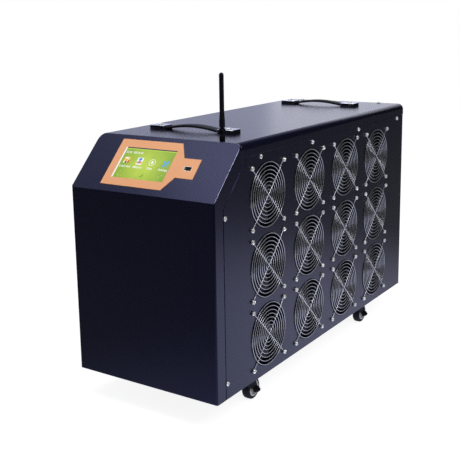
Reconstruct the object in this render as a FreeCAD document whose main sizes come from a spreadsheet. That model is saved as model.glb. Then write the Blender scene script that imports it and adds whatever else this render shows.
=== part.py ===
import FreeCAD, Part
import os
import re
import Sketcher
from FreeCAD import Placement, Rotation, Vector

# A DC load bank on casters: a sheet-metal case with a sloped display face, twelve 120 mm fans
# behind wire guards on its right side, exhaust louvres on its left side and battery terminals
# at the rear. Millimetres, +Z up, the front looks along -Y, the fans look along +X. The origin
# is the middle of the bounding box at floor level. Pieces are drawn in the case's own frame
# (middle of the width, front face, underside of the case) and then placed on their casters.

doc = FreeCAD.newDocument("dc_load_bank")
sheet = doc.addObject("Spreadsheet::Sheet", "Sizes")

sizes = {
    # case
    "case_width": 300,
    "case_length": 760,
    "case_height": 420,
    "front_height": 336,
    "slope_run": 84,
    "wall": 1.5,
    "edge_radius": 12,
    "fold_radius": 3,
    "front_frame": 25,
    "slope_frame": 27,
    "top_frame": 24,
    "lip_width": 12,
    "seam": 0.4,
    "rear_overhang": 1.5,
    "base_sheet": 2,
    "base_flange": 10,
    "rear_flange": 15,
    "fit_gap": 0.3,
    "head_height": 2.4,
    "head_radius": 4,
    # side panel screws
    "panel_screw_inset": 5,
    "panel_screw_low": 28,
    "panel_screw_drop": 29,
    "panel_screw_first": 57,
    "panel_screw_second": 324,
    "panel_screw_rear": 34.5,
    "rear_screw_height": 181,
    "top_screw_left": 49,
    "top_screw_right": 56,
    # fans and guards
    "fan_columns": 4,
    "fan_rows": 3,
    "fan_low": 12.5,
    "fan_over": 37.5,
    "fan_gap": 5,
    "fan_clear": 1.35,
    "fan_rear": 85.5,
    "fan_depth": 38,
    "duct_wall": 2.5,
    "fan_screw_inset": 7.5,
    "strut_width": 5,
    "strut_depth": 4,
    "stator_radius": 20,
    "stator_height": 7,
    "shaft_radius": 2,
    "shaft_length": 6,
    "running_gap": 0.05,
    "hub_radius": 21,
    "hub_height": 23,
    "hub_recess": 5,
    "blade_count": 7,
    "blade_thickness": 1.6,
    "blade_root": 24,
    "root_angle": 50,
    "blade_tip": 38,
    "tip_angle": 28,
    "tip_gap": 1.5,
    "ring_count": 8,
    "ring_inset": 1.5,
    "inner_ring": 9.1,
    "ring_wire": 1.8,
    "spoke_wire": 2,
    "ring_stand": 3,
    "weld_depth": 0.4,
    "eye_radius": 4.4,
    "eye_hole": 2.2,
    # exhaust louvres
    "louvre_inset": 4,
    "louvre_rows": 22,
    "louvre_first": 48,
    "louvre_over": 78,
    "louvre_height": 7,
    "louvre_reach": 4,
    # display
    "overlay_thickness": 0.8,
    "overlay_left": 91,
    "overlay_right": 38,
    "overlay_low": 13.5,
    "overlay_over": 9.8,
    "tab_start": 54.5,
    "tab_end": 89.5,
    "tab_low": 40.5,
    "tab_over": 38.8,
    "window_left": 76,
    "window_right": 34.5,
    "window_low": 28.8,
    "window_over": 25.8,
    "screen_border": 4,
    "module_border": 3,
    "module_depth": 14,
    "port_inset": 19,
    "port_width": 15.6,
    "port_tall": 9,
    "plug_width": 12.6,
    "plug_tall": 5.6,
    "port_depth": 16,
    "tongue_thickness": 1.8,
    "board_gap": 22,
    "board_thickness": 1.6,
    "standoff_radius": 3,
    "chip_inset": 14,
    "chip_size": 20,
    "chip_height": 6,
    # handles
    "handle_x": -10,
    "front_handle_y": 175,
    "rear_handle_inset": 99,
    "handle_length": 183,
    "handle_depth": 25,
    "cap_length": 34,
    "cap_height": 8,
    "cap_round": 2,
    "strap_width": 20,
    "strap_thickness": 4.5,
    "strap_seat": 1,
    "strap_rise": 6.2,
    "strap_engage": 22,
    "handle_screw_radius": 4.5,
    # antenna
    "antenna_inset": 46.4,
    "antenna_y": 96,
    "antenna_height": 112,
    "thread_radius": 3.2,
    "thread_height": 8,
    "nut_width": 5.5,
    "nut_height": 3,
    "sleeve_radius": 5,
    "sleeve_top": 11,
    "pivot_height": 17,
    "ear_gap": 4,
    "pivot_radius": 1.5,
    "tongue_radius": 3.6,
    "whip_low_radius": 4.8,
    "whip_top_radius": 3.75,
    "whip_low_height": 34,
    # casters
    "caster_height": 50,
    "caster_inset": 28,
    "front_caster_y": 128,
    "rear_caster_inset": 175,
    "trail": 18,
    "wheel_radius": 20,
    "wheel_width": 15,
    "core_radius": 14,
    "core_length": 17,
    "hub_wall": 3.5,
    "rim_wall": 2.5,
    "tread_round": 2.5,
    "axle_radius": 3,
    "plate_length": 50,
    "plate_width": 42,
    "plate_thickness": 2,
    "plate_screw_inset": 5,
    "race_radius": 17,
    "race_depth": 5,
    "fork_sheet": 2,
    "fork_gap": 1,
    "kingpin_radius": 3.5,
    "kingpin_head": 6,
    "axle_end": 19,
    "axle_nut": 5.5,
    "axle_nut_width": 4.5,
    # rear panel
    "terminal_x": 70,
    "terminal_z": 95,
    "terminal_size": 50,
    "terminal_depth": 12,
    "terminal_boss": 15,
    "boss_depth": 9,
    "stud_radius": 5,
    "stud_shoulder": 6,
    "stud_thread": 20,
    "stud_inside": 25,
    "stud_nut": 10.4,
    "stud_nut_height": 8,
    "breaker_x": -65,
    "breaker_z": 265,
    "breaker_width": 36,
    "breaker_tall": 46,
    "breaker_depth": 60,
    "breaker_face": 6,
    "lever_drum": 9,
    "lever_width": 24,
    "lever_reach": 12,
    "lever_grip": 5,
    "lever_swing": 30,
    "inlet_x": 65,
    "inlet_z": 262,
    "inlet_width": 48,
    "inlet_tall": 28,
    "inlet_face": 3,
    "inlet_depth": 26,
    "cavity_width": 24.4,
    "cavity_tall": 16.4,
    "cavity_depth": 17,
    "cavity_chamfer": 4.5,
    "inlet_border": 3,
    "pin_length": 11,
    "pin_width": 2,
    "pin_tall": 4,
    "pin_spread": 7,
    "pin_drop": 2,
    "rocker_gap": 13,
    "rocker_width": 13,
    "rocker_tall": 19,
    "rocker_swing": 8,
    "rocker_root": 3,
    "bezel_width": 19,
    "bezel_tall": 28,
    "bezel_border": 1.8,
    "comms_gap": 41.75,
    "comms_width": 31,
    "comms_tall": 12.5,
    "comms_reach": 6,
    "shell_half": 9,
    "shell_taper": 1,
    "shell_low": 3.25,
    "shell_high": 4,
    "jack_spread": 12.5,
    # inside
    "rack_left": 88,
    "rack_gap": 18.5,
    "rack_inset": 3,
    "rack_over": 48,
    "tube_radius": 9,
    "tube_rows": 4,
    "contactor_width": 70,
    "contactor_length": 40,
    "contactor_height": 80,
    "crown_inset": 6,
    "crown_rise": 9,
    "bar_thickness": 3,
    "bar_width": 20,
}
for row, (name, number) in enumerate(sizes.items(), start=1):
    sheet.set(f"A{row}", name)
    sheet.set(f"B{row}", str(number))
    sheet.setAlias(f"B{row}", name)
doc.recompute()

# Formulas that several pieces share. "up" runs along the sloped face from its lower edge.
rise = "(case_height - front_height)"
slope_length = f"hypot({rise}; slope_run)"
slope_cos = f"({rise} / {slope_length})"
slope_sin = f"(slope_run / {slope_length})"
slope_angle = f"atan2({rise}; slope_run)"
half = "(case_width / 2)"
rear_face = "(case_length - rear_overhang)"
guard_reach = "(ring_stand + ring_wire - weld_depth + spoke_wire)"
stud_reach = "(terminal_depth + stud_nut_height + stud_thread)"
case_x = f"((louvre_reach - {guard_reach}) / 2)"
case_y = f"(-({rear_face} + {stud_reach}) / 2)"
fan_face = f"({half} - wall)"

# The fans are squares that fill the right side between their clearances: the rows between the
# base and the top frame, the columns between the slope's frame and the rear.
fan_size = "((case_height - fan_low - fan_over - (fan_rows - 1) * fan_gap) / fan_rows)"
slope_lip = "(slope_frame + lip_width)"
fan_front = (f"({slope_lip} * {slope_cos}"
             f" + (case_height - fan_over - front_height + {slope_lip} * {slope_sin})"
             f" * {slope_sin} / {slope_cos} + fan_clear)")
first_row = f"(fan_low + {fan_size} / 2)"
row_pitch = f"({fan_size} + fan_gap)"
first_column = f"({fan_front} + {fan_size} / 2)"
column_pitch = f"(({rear_face} - fan_rear - {fan_front} - {fan_size}) / (fan_columns - 1))"
duct_radius = f"({fan_size} / 2 - duct_wall)"
guard_radius = f"({duct_radius} - ring_inset)"
ring_pitch = f"(({guard_radius} - inner_ring) / (ring_count - 1))"
screw_pitch = f"({fan_size} - 2 * fan_screw_inset)"

# places on the slope, and what follows the case's far ends
overlay_high = f"({slope_length} - overlay_over)"
window_high = f"({slope_length} - window_over)"
tab_high = f"({slope_length} - tab_over)"
port_middle = "(tab_end - port_inset)"
port_height = f"((tab_low + {tab_high}) / 2)"
antenna_x = f"({half} - antenna_inset)"
rear_handle_y = "(case_length - rear_handle_inset)"
comms_z = "(inlet_z - inlet_tall / 2 - comms_gap - comms_tall / 2)"
rocker_z = "(inlet_z + inlet_tall / 2 + rocker_gap + bezel_tall / 2)"

subparts = []


def link(text):
    """The formula with each size written as its cell in the sheet."""
    return re.sub(r"[a-z_]\w*", lambda word: ("Sizes." if word.group() in sizes else "") + word.group(), text)


def value(text):
    return float(sheet.evalExpression(link(text)))


def bind(thing, **properties):
    for name, text in properties.items():
        thing.setExpression(name.replace("__", "."), link(text))


def seat(thing, label, x="0", y="0", z="0", turn=None):
    """Names a sub-part and stands it in the case's frame, raised on the casters."""
    thing.Label = label
    if turn:
        axis, angle = turn
        thing.Placement = Placement(Vector(), Rotation(Vector(*axis), value(angle)))
        bind(thing, Placement__Rotation__Angle=angle)
    bind(thing, Placement__Base__x=f"{case_x} + {x}", Placement__Base__y=f"{case_y} + {y}",
         Placement__Base__z=f"caster_height + {z}")
    subparts.append(thing)
    return thing


# sketches

def draw_outline(sketch, corners):
    """A closed outline. A third entry in a corner is the radius of an arc to the next corner,
    positive when the arc's centre is on the left of the way there."""
    points = [Vector(value(corner[0]), value(corner[1]), 0) for corner in corners]
    first = sketch.GeometryCount
    ends = []
    for place, corner in enumerate(corners):
        here, there = points[place], points[(place + 1) % len(points)]
        number = first + place
        if len(corner) == 2:
            sketch.addGeometry(Part.LineSegment(here, there))
            ends.append(((number, 1), (number, 2)))
            continue
        radius = value(corner[2])
        chord = there - here
        across = Vector(-chord.y, chord.x, 0).normalize()
        depth = max(radius ** 2 - chord.Length ** 2 / 4, 0) ** 0.5
        centre = (here + there) / 2 + across * depth * (1 if radius > 0 else -1)
        begin, stop = (here, there) if radius > 0 else (there, here)
        circle = Part.Circle(centre, Vector(0, 0, 1), abs(radius))
        sketch.addGeometry(Part.ArcOfCircle(circle, circle.parameter(begin), circle.parameter(stop)))
        ends.append(((number, 1), (number, 2)) if radius > 0 else ((number, 2), (number, 1)))
        # the ends of a half circle already fix its radius, so its centre is held level with them
        if depth < 0.01:
            limit = sketch.addConstraint(Sketcher.Constraint("DistanceY", -1, 1, number, 3, here.y))
            sketch.setExpression(f"Constraints[{limit}]", link(corner[1]))
            continue
        limit = sketch.addConstraint(Sketcher.Constraint("Radius", number, abs(radius)))
        sketch.setExpression(f"Constraints[{limit}]", link(f"abs({corner[2]})"))
    for place, corner in enumerate(corners):
        start, stop = ends[place][0], ends[place - 1][1]
        sketch.addConstraint(Sketcher.Constraint("Coincident", *stop, *start))
        for kind, text in (("DistanceX", corner[0]), ("DistanceY", corner[1])):
            limit = sketch.addConstraint(Sketcher.Constraint(kind, -1, 1, *start, value(text)))
            sketch.setExpression(f"Constraints[{limit}]", link(text))


def draw_circle(sketch, across, up, radius):
    number = sketch.GeometryCount
    centre = Vector(value(across), value(up), 0)
    sketch.addGeometry(Part.Circle(centre, Vector(0, 0, 1), value(radius)))
    limit = sketch.addConstraint(Sketcher.Constraint("Radius", number, value(radius)))
    sketch.setExpression(f"Constraints[{limit}]", link(radius))
    for kind, text in (("DistanceX", across), ("DistanceY", up)):
        limit = sketch.addConstraint(Sketcher.Constraint(kind, -1, 1, number, 3, value(text)))
        sketch.setExpression(f"Constraints[{limit}]", link(text))


def rectangle(left, right, low, high):
    return [(left, low), (right, low), (right, high), (left, high)]


def around(across, width, up, height):
    """A rectangle about its middle, from its half width and half height."""
    return rectangle(f"{across} - ({width})", f"{across} + ({width})",
                     f"{up} - ({height})", f"{up} + ({height})")


def draw(sketch, shapes):
    for shape in shapes:
        if isinstance(shape, tuple):
            draw_circle(sketch, *shape)
        else:
            draw_outline(sketch, shape)


def body_sketch(body, role, shapes, lift="0"):
    sketch = body.newObject("Sketcher::SketchObject", "Profile")
    plane = [feature for feature in body.Origin.OriginFeatures if feature.Role == role][0]
    sketch.AttachmentSupport = [(plane, "")]
    sketch.MapMode = "FlatFace"
    bind(sketch, AttachmentOffset__Base__z=lift)
    draw(sketch, shapes)
    return sketch


def slab(body, role, start, length, shapes, cut=False):
    """Adds or cuts the shapes from start towards the plane's positive axis."""
    backward = role == "XZ_Plane"
    sketch = body_sketch(body, role, shapes, f"-({start})" if backward else start)
    feature = body.newObject("PartDesign::Pocket" if cut else "PartDesign::Pad", "Slab")
    feature.Profile = sketch
    feature.Reversed = backward != cut
    bind(feature, Length=length)
    return feature


def turned(body, shapes):
    """Turns shapes drawn as (radius, height) about the body's Z axis."""
    sketch = body_sketch(body, "XZ_Plane", shapes)
    feature = body.newObject("PartDesign::Revolution", "Turned")
    feature.Profile = sketch
    feature.ReferenceAxis = (sketch, ["V_Axis"])
    feature.Angle = 360
    return feature


def grid(body, panel, features, columns, column_pitch, rows, row_pitch):
    """Repeats features in columns along Y and rows along Z, the axes of the panel's own sketch."""
    pattern = body.newObject("PartDesign::LinearPattern", "Grid")
    pattern.Originals = features
    sketch = panel.Profile[0]
    pattern.Direction = (sketch, ["H_Axis"])
    pattern.Direction2 = (sketch, ["V_Axis"])
    bind(pattern, Length=f"{column_pitch} * ({columns} - 1)", Occurrences=columns,
         Length2=f"{row_pitch} * ({rows} - 1)", Occurrences2=rows)
    body.Tip = pattern
    return pattern


# plain solids

turns = {
    "YZ_Plane": (Rotation(Vector(1, 1, 1), 120), Vector(1, 0, 0), "x"),
    "XZ_Plane": (Rotation(Vector(1, 0, 0), 90), Vector(0, 1, 0), "y"),
    "XY_Plane": (Rotation(), Vector(0, 0, 1), "z"),
}


def prism(role, start, length, shapes):
    """Extrudes the shapes from start along the plane's positive axis."""
    turn, along, letter = turns[role]
    sketch = doc.addObject("Sketcher::SketchObject", "Profile")
    sketch.Placement = Placement(Vector(), turn)
    bind(sketch, **{f"Placement__Base__{letter}": start})
    draw(sketch, shapes)
    solid = doc.addObject("Part::Extrusion", "Prism")
    solid.Base = sketch
    solid.DirMode = "Custom"
    solid.Dir = along
    solid.Solid = True
    bind(solid, LengthFwd=length)
    return solid


def block(x, y, z):
    """A box from three pairs of limits."""
    solid = doc.addObject("Part::Box", "Block")
    bind(solid, Length=f"{x[1]} - ({x[0]})", Width=f"{y[1]} - ({y[0]})", Height=f"{z[1]} - ({z[0]})",
         Placement__Base__x=x[0], Placement__Base__y=y[0], Placement__Base__z=z[0])
    return solid


def rod(axis, radius, x, y, z, length):
    """A cylinder from a point along the positive X, Y or Z axis."""
    solid = doc.addObject("Part::Cylinder", "Rod")
    turn = {"X": Rotation(Vector(0, 1, 0), 90), "Y": Rotation(Vector(1, 0, 0), -90), "Z": Rotation()}[axis]
    solid.Placement = Placement(Vector(), turn)
    bind(solid, Radius=radius, Height=length,
         Placement__Base__x=x, Placement__Base__y=y, Placement__Base__z=z)
    return solid


def joined(*solids):
    fuse = doc.addObject("Part::MultiFuse", "Joined")
    fuse.Shapes = list(solids)
    fuse.Refine = True
    return fuse


def without(base, *tools):
    cut = doc.addObject("Part::Cut", "Without")
    cut.Base = base
    cut.Tool = tools[0] if len(tools) == 1 else joined(*tools)
    cut.Refine = True
    return cut


def shared(*solids):
    common = doc.addObject("Part::MultiCommon", "Shared")
    common.Shapes = list(solids)
    common.Refine = True
    return common


def copies(label, master, places):
    """One sub-part that holds a copy of the master's solid at each place."""
    doc.recompute()
    solids = []
    for place in places:
        for solid in master.Shape.Solids:
            copy = solid.copy()
            copy.Placement = place.multiply(copy.Placement)
            solids.append(copy)
    group = doc.addObject("Part::Feature", "Copies")
    group.Shape = Part.makeCompound(solids)
    return seat(group, label)


def gathered(label, solids, height="0"):
    """One sub-part that holds several solids of the same kind."""
    group = doc.addObject("Part::Compound", "Gathered")
    group.Links = solids
    return seat(group, label, z=height)


# case shell

def frame_window(front, slope, top, rear):
    """The outline inside the frame round a side panel, as (along Y, up Z)."""
    along = f"({front} - {slope} * {slope_cos})"
    knee = f"(front_height - {slope} * {slope_sin} + {along} * {slope_cos} / {slope_sin})"
    level = f"(case_height - {top})"
    corner = (f"({slope} * {slope_cos} + ({level} - front_height + {slope} * {slope_sin})"
              f" * {slope_sin} / {slope_cos})")
    return [(rear, "0"), (rear, level), (corner, level), (front, knee), (front, "0")]


def below(outline, drop):
    """The outline with its feet lowered, so that it cuts clear through."""
    return [(y, f"-{drop}" if z == "0" else z) for y, z in outline]


def rounded_section(inset, low):
    """The case's section across its width, with rounded top edges."""
    side, top, bend = f"({half} - {inset})", f"(case_height - {inset})", f"({half} - edge_radius)"
    shoulder, radius = "(case_height - edge_radius)", f"(edge_radius - {inset})"
    return [(side, low), (side, shoulder, radius), (bend, top), (f"-{bend}", top, radius),
            (f"-{side}", shoulder), (f"-{side}", low)]


def side_profile(inset, low, rear):
    """The case seen from the side: front face, slope and top with their folds, moved inwards by the inset."""
    knee = f"(front_height - {inset} * ({slope_length} - {rise}) / slope_run)"
    level = f"(case_height - {inset})"
    corner = f"(slope_run + {inset} * ({slope_length} - slope_run) / {rise})"
    radius = f"(fold_radius - {inset})"
    low_bend = f"({radius} * ({slope_length} - {rise}) / slope_run)"
    high_bend = f"({radius} * ({slope_length} - slope_run) / {rise})"
    return [(inset, low), (rear, low), (rear, level), (f"{corner} + {high_bend}", level, radius),
            (f"{corner} - {high_bend} * {slope_sin}", f"{level} - {high_bend} * {slope_cos}"),
            (f"{inset} + {low_bend} * {slope_sin}", f"{knee} + {low_bend} * {slope_cos}", radius),
            (inset, f"{knee} - {low_bend}")]


def plan_outline(inset, rear):
    """The case seen from above, with its folded front corners."""
    side, radius = f"({half} - {inset})", f"(fold_radius - {inset})"
    return [(f"-{side} + {radius}", inset), (f"{side} - {radius}", inset, radius),
            (side, f"{inset} + {radius}"),
            (side, rear), (f"-{side}", rear), (f"-{side}", f"{inset} + {radius}", radius)]


def case_block(inset, low, rear):
    profile = prism("YZ_Plane", f"-{half}", "case_width", [side_profile(inset, low, rear)])
    section = prism("XZ_Plane", "0", "case_length + 2 * wall", [rounded_section(inset, low)])
    plan = prism("XY_Plane", low, "case_height + 2 * wall", [plan_outline(inset, rear)])
    return shared(profile, section, plan)


def folded_shell(near, far):
    """The part of the case shell between two distances from the front, with its panel lips."""
    outer = case_block("0", "0", "case_length")
    inner = case_block("wall", "-wall", "case_length + wall")
    window = frame_window("front_frame", "slope_frame", "top_frame", "(case_length + wall)")
    opening = prism("YZ_Plane", f"-{half} - wall", "case_width + 2 * wall", [below(window, "wall")])
    skin = without(outer, inner, opening)
    lip_window = frame_window("(front_frame + lip_width)", slope_lip, "(top_frame + lip_width)",
                              "(case_length + wall)")
    lip_opening = prism("YZ_Plane", f"-{half} - wall", "case_width + 2 * wall", [below(lip_window, "wall")])
    limits = ("0", "case_length - rear_overhang - 2 * wall")
    sides = joined(block((f"-{half} + wall", f"-{half} + 2 * wall"), limits, ("0", "case_height")),
                   block((f"{half} - 2 * wall", f"{half} - wall"), limits, ("0", "case_height")))
    lips = without(shared(case_block("wall", "-wall", "case_length + wall"), sides), lip_opening)
    stretch = block((f"-{half}", half), (near, far), ("0", "case_height"))
    return shared(joined(skin, lips), stretch)


screen = {
    "left": "-window_left - screen_border",
    "right": "window_right + screen_border",
    "low": "window_low - screen_border",
    "high": f"{window_high} + screen_border",
}
port_limits = (f"{port_middle} - port_width / 2", f"{port_middle} + port_width / 2",
               f"{port_height} - port_tall / 2", f"{port_height} + port_tall / 2")


def grown(text, by):
    return f"({text}) + ({by})"


def slope_cutter():
    """Cuts the screen's opening and the port's opening through the sloped sheet."""
    gap = "fit_gap"
    shapes = [
        rectangle(grown(screen["left"], f"-{gap}"), grown(screen["right"], gap),
                  grown(screen["low"], f"-{gap}"), grown(screen["high"], gap)),
        rectangle(grown(port_limits[0], f"-{gap}"), grown(port_limits[1], gap),
                  grown(port_limits[2], f"-{gap}"), grown(port_limits[3], gap)),
    ]
    cutter = joined(prism("XY_Plane", "-3 * wall", "6 * wall", shapes))
    cutter.Placement = Placement(Vector(), Rotation(Vector(1, 0, 0), value(slope_angle)))
    bind(cutter, Placement__Base__z="front_height", Placement__Rotation__Angle=slope_angle)
    return cutter


def make_front_fascia():
    seat(without(folded_shell("0", "slope_run"), slope_cutter()), "front_fascia")


def make_top_cover():
    seat(folded_shell("slope_run", "case_length"), "top_cover")


def panel_outline():
    return frame_window("(front_frame + seam)", "(slope_frame + seam)", "(top_frame + seam)", rear_face)


def make_fan_panel():
    body = doc.addObject("PartDesign::Body", "FanPanel")
    panel = slab(body, "YZ_Plane", f"{half} - wall", "wall", [panel_outline()])
    opening = slab(body, "YZ_Plane", f"{half} - 2 * wall", "3 * wall",
                   [(first_column, first_row, duct_radius)], cut=True)
    grid(body, panel, [opening], "fan_columns", column_pitch, "fan_rows", row_pitch)
    seat(body, "fan_panel")


def make_vent_panel():
    """The exhaust panel: pressed louvres, each a hood closed at its ends and open below."""
    body = doc.addObject("PartDesign::Body", "VentPanel")
    panel = slab(body, "YZ_Plane", f"-{half}", "wall", [panel_outline()])
    length = f"({fan_size} - 2 * louvre_inset)"
    pitch = "((case_height - louvre_over - louvre_first) / (louvre_rows - 1))"
    left, top = f"({first_column} - {length} / 2)", "(louvre_first + louvre_height)"
    face, crest = f"(-{half})", f"(-{half} - louvre_reach)"
    hood = slab(body, "XZ_Plane", left, length,
                [[(face, f"{top} + louvre_reach"), (crest, top),
                  (crest, "louvre_first"), (face, "louvre_first")]])
    ceiling = f"({top} + louvre_reach - 2 * wall)"
    hollow = slab(body, "XZ_Plane", f"{left} + wall", f"{length} - 2 * wall", [[
        (f"{face} + 2 * wall", ceiling), (face, ceiling), (f"{crest} + wall", f"{top} - wall / 2"),
        (f"{crest} + wall", "louvre_first - wall"), (f"{face} + 2 * wall", "louvre_first - wall")]], cut=True)
    grid(body, panel, [hood, hollow], "fan_columns", column_pitch, "louvre_rows", pitch)
    seat(body, "vent_panel")


def make_base_pan():
    side = f"({half} - 2 * wall - fit_gap)"
    front, back = "(wall + fit_gap)", f"({rear_face} - 2 * wall - fit_gap)"
    outer = block((f"-{side}", side), (front, back), ("0", "base_flange"))
    inner = block((f"-{side} + wall", f"{side} - wall"), (f"{front} + wall", f"{back} - wall"),
                  ("base_sheet", "base_flange + wall"))
    seat(without(outer, inner), "base_pan")


def make_rear_panel():
    side = f"({half} - 2 * wall - fit_gap)"
    top = "(case_height - wall - fit_gap)"
    bend = f"({half} - edge_radius)"
    radius = "(edge_radius - 2 * wall - fit_gap)"
    back = f"({rear_face} - wall)"
    outline = [(f"-{side}", "0"), (side, "0"), (side, f"{top} - {radius}", radius),
               (f"{side} - {radius}", top),
               (f"-{side} + {radius}", top, radius), (f"-{side}", f"{top} - {radius}")]
    sheet_face = prism("XZ_Plane", back, "wall", [outline])
    depth, height = (f"{back} - rear_flange", back), ("base_flange + wall", f"{top} - {radius}")
    flanges = [block((f"{side} - wall", side), depth, height),
               block((f"-{side}", f"-{side} + wall"), depth, height),
               block((f"-{side} + {radius}", f"{side} - {radius}"), depth, (f"{top} - wall", top))]
    openings = [prism("XZ_Plane", f"{back} - wall", "3 * wall", [
        ("terminal_x", "terminal_z", "terminal_boss + fit_gap"),
        ("-terminal_x", "terminal_z", "terminal_boss + fit_gap"),
        around("breaker_x", "breaker_width / 2 + fit_gap", "breaker_z", "breaker_tall / 2 + fit_gap"),
        around("inlet_x", "inlet_width / 2 - inlet_border + fit_gap",
               "inlet_z", "inlet_tall / 2 - inlet_border + fit_gap"),
        around("inlet_x", "bezel_width / 2 - bezel_border + fit_gap",
               rocker_z, "bezel_tall / 2 - bezel_border + fit_gap"),
        rectangle("inlet_x - shell_half - fit_gap", "inlet_x + shell_half + fit_gap",
                  f"{comms_z} - shell_low - fit_gap", f"{comms_z} + shell_high + fit_gap"),
    ])]
    seat(without(joined(sheet_face, *flanges), *openings), "rear_panel")


# display on the slope, drawn with X across, Y up the slope and Z out of it

def seat_on_slope(thing, label):
    return seat(thing, label, z="front_height", turn=((1, 0, 0), slope_angle))


def make_control_overlay():
    body = doc.addObject("PartDesign::Body", "ControlOverlay")
    outline = [("-overlay_left", "overlay_low"), ("overlay_right", "overlay_low"), ("tab_start", "tab_low"),
               ("tab_end", "tab_low"), ("tab_end", tab_high), ("tab_start", tab_high),
               ("overlay_right", overlay_high), ("-overlay_left", overlay_high)]
    window = rectangle("-window_left", "window_right", "window_low", window_high)
    port = rectangle(*port_limits)
    slab(body, "XY_Plane", "0", "overlay_thickness", [outline, window, port])
    seat_on_slope(body, "control_overlay")


def make_touch_screen():
    """The display: cover glass flush with the slope, bonded to a wider panel unit behind it."""
    body = doc.addObject("PartDesign::Body", "TouchScreen")
    glass = [screen["left"], screen["right"], screen["low"], screen["high"]]
    slab(body, "XY_Plane", "-wall", "wall", [rectangle(*glass)])
    unit = [grown(limit, f"{sign}module_border") for limit, sign in zip(glass, "-+-+")]
    slab(body, "XY_Plane", "-wall - module_depth", "module_depth", [rectangle(*unit)])
    seat_on_slope(body, "touch_screen")


def make_usb_socket():
    body = doc.addObject("PartDesign::Body", "UsbSocket")
    slab(body, "XY_Plane", "-port_depth", "port_depth", [rectangle(*port_limits)])
    slab(body, "XY_Plane", "-port_depth + wall", "port_depth",
         [around(port_middle, "plug_width / 2", port_height, "plug_tall / 2")], cut=True)
    tongue = f"{port_height} + plug_tall / 2 - 1.5 * tongue_thickness"
    slab(body, "XY_Plane", "-port_depth + wall", "port_depth - 3 * wall",
         [around(port_middle, "plug_width / 2 - wall", f"({tongue})", "tongue_thickness / 2")])
    seat_on_slope(body, "usb_socket")


def make_control_board():
    body = doc.addObject("PartDesign::Body", "ControlBoard")
    left, right = "-overlay_left", "tab_end"
    low, high = "overlay_low", overlay_high
    slab(body, "XY_Plane", "-wall - board_gap - board_thickness", "board_thickness",
         [rectangle(left, right, low, high)])
    posts = [(f"{side} {sign} 2 * standoff_radius", f"{end} {way} 2 * standoff_radius", "standoff_radius")
             for side, sign in ((left, "+"), (right, "-")) for end, way in ((low, "+"), (high, "-"))]
    slab(body, "XY_Plane", "-wall - board_gap", "board_gap", posts)
    slab(body, "XY_Plane", "-wall - board_gap", "chip_height", [rectangle(
        f"{right} - chip_inset - chip_size", f"{right} - chip_inset",
        f"{high} - chip_inset - chip_size", f"{high} - chip_inset")])
    seat_on_slope(body, "control_board")


# strap handles

def make_handles():
    """Two carrying handles: a flexible strap bowed between two chromed end caps."""
    mouth = "(handle_length / 2 - cap_length)"
    tail = f"({mouth} + strap_engage)"
    low_radius = f"(({mouth} ^ 2 + strap_rise ^ 2) / (2 * strap_rise))"
    high_radius = f"({low_radius} + strap_thickness)"
    low, high = "strap_seat", "(strap_seat + strap_thickness)"
    caps, straps = [], []
    ends_of_caps = ((f"-({mouth} + cap_length)", f"-{mouth}", -1), (mouth, f"({mouth} + cap_length)", 1))
    for y in ("front_handle_y", rear_handle_y):
        for outer, inner, side in ends_of_caps:
            shell = doc.addObject("Part::Fillet", "CapRound")
            shell.Base = block((f"handle_x + {outer}", f"handle_x + {inner}"),
                               (f"{y} - handle_depth / 2", f"{y} + handle_depth / 2"), ("0", "cap_height"))
            doc.recompute()
            upper = [number for number, edge in enumerate(shell.Base.Shape.Edges, start=1)
                     if edge.BoundBox.ZMin > value("cap_height") - 0.01]
            shell.Edges = [(number, value("cap_round"), value("cap_round")) for number in upper]
            near, far = f"{mouth} - wall", f"{tail} + fit_gap"
            ends = (f"-({far})", f"-({near})") if side < 0 else (near, far)
            tunnel = block((f"handle_x + {ends[0]}", f"handle_x + {ends[1]}"),
                           (f"{y} - strap_width / 2 - fit_gap", f"{y} + strap_width / 2 + fit_gap"),
                           (f"{low} - fit_gap", f"{high} + fit_gap"))
            caps.append(without(shell, tunnel))
        strap = [(f"-{tail}", low), (f"-{mouth}", low, f"-{low_radius}"), (mouth, low), (tail, low),
                 (tail, high), (mouth, high, high_radius), (f"-{mouth}", high), (f"-{tail}", high)]
        straps.append(prism("XZ_Plane", f"{y} - strap_width / 2", "strap_width",
                            [[(f"handle_x + {corner[0]}",) + corner[1:] for corner in strap]]))
    gathered("handle_caps", caps, "case_height")
    gathered("handle_straps", straps, "case_height")


# antenna, drawn about its own upright axis from the top of the case

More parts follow.
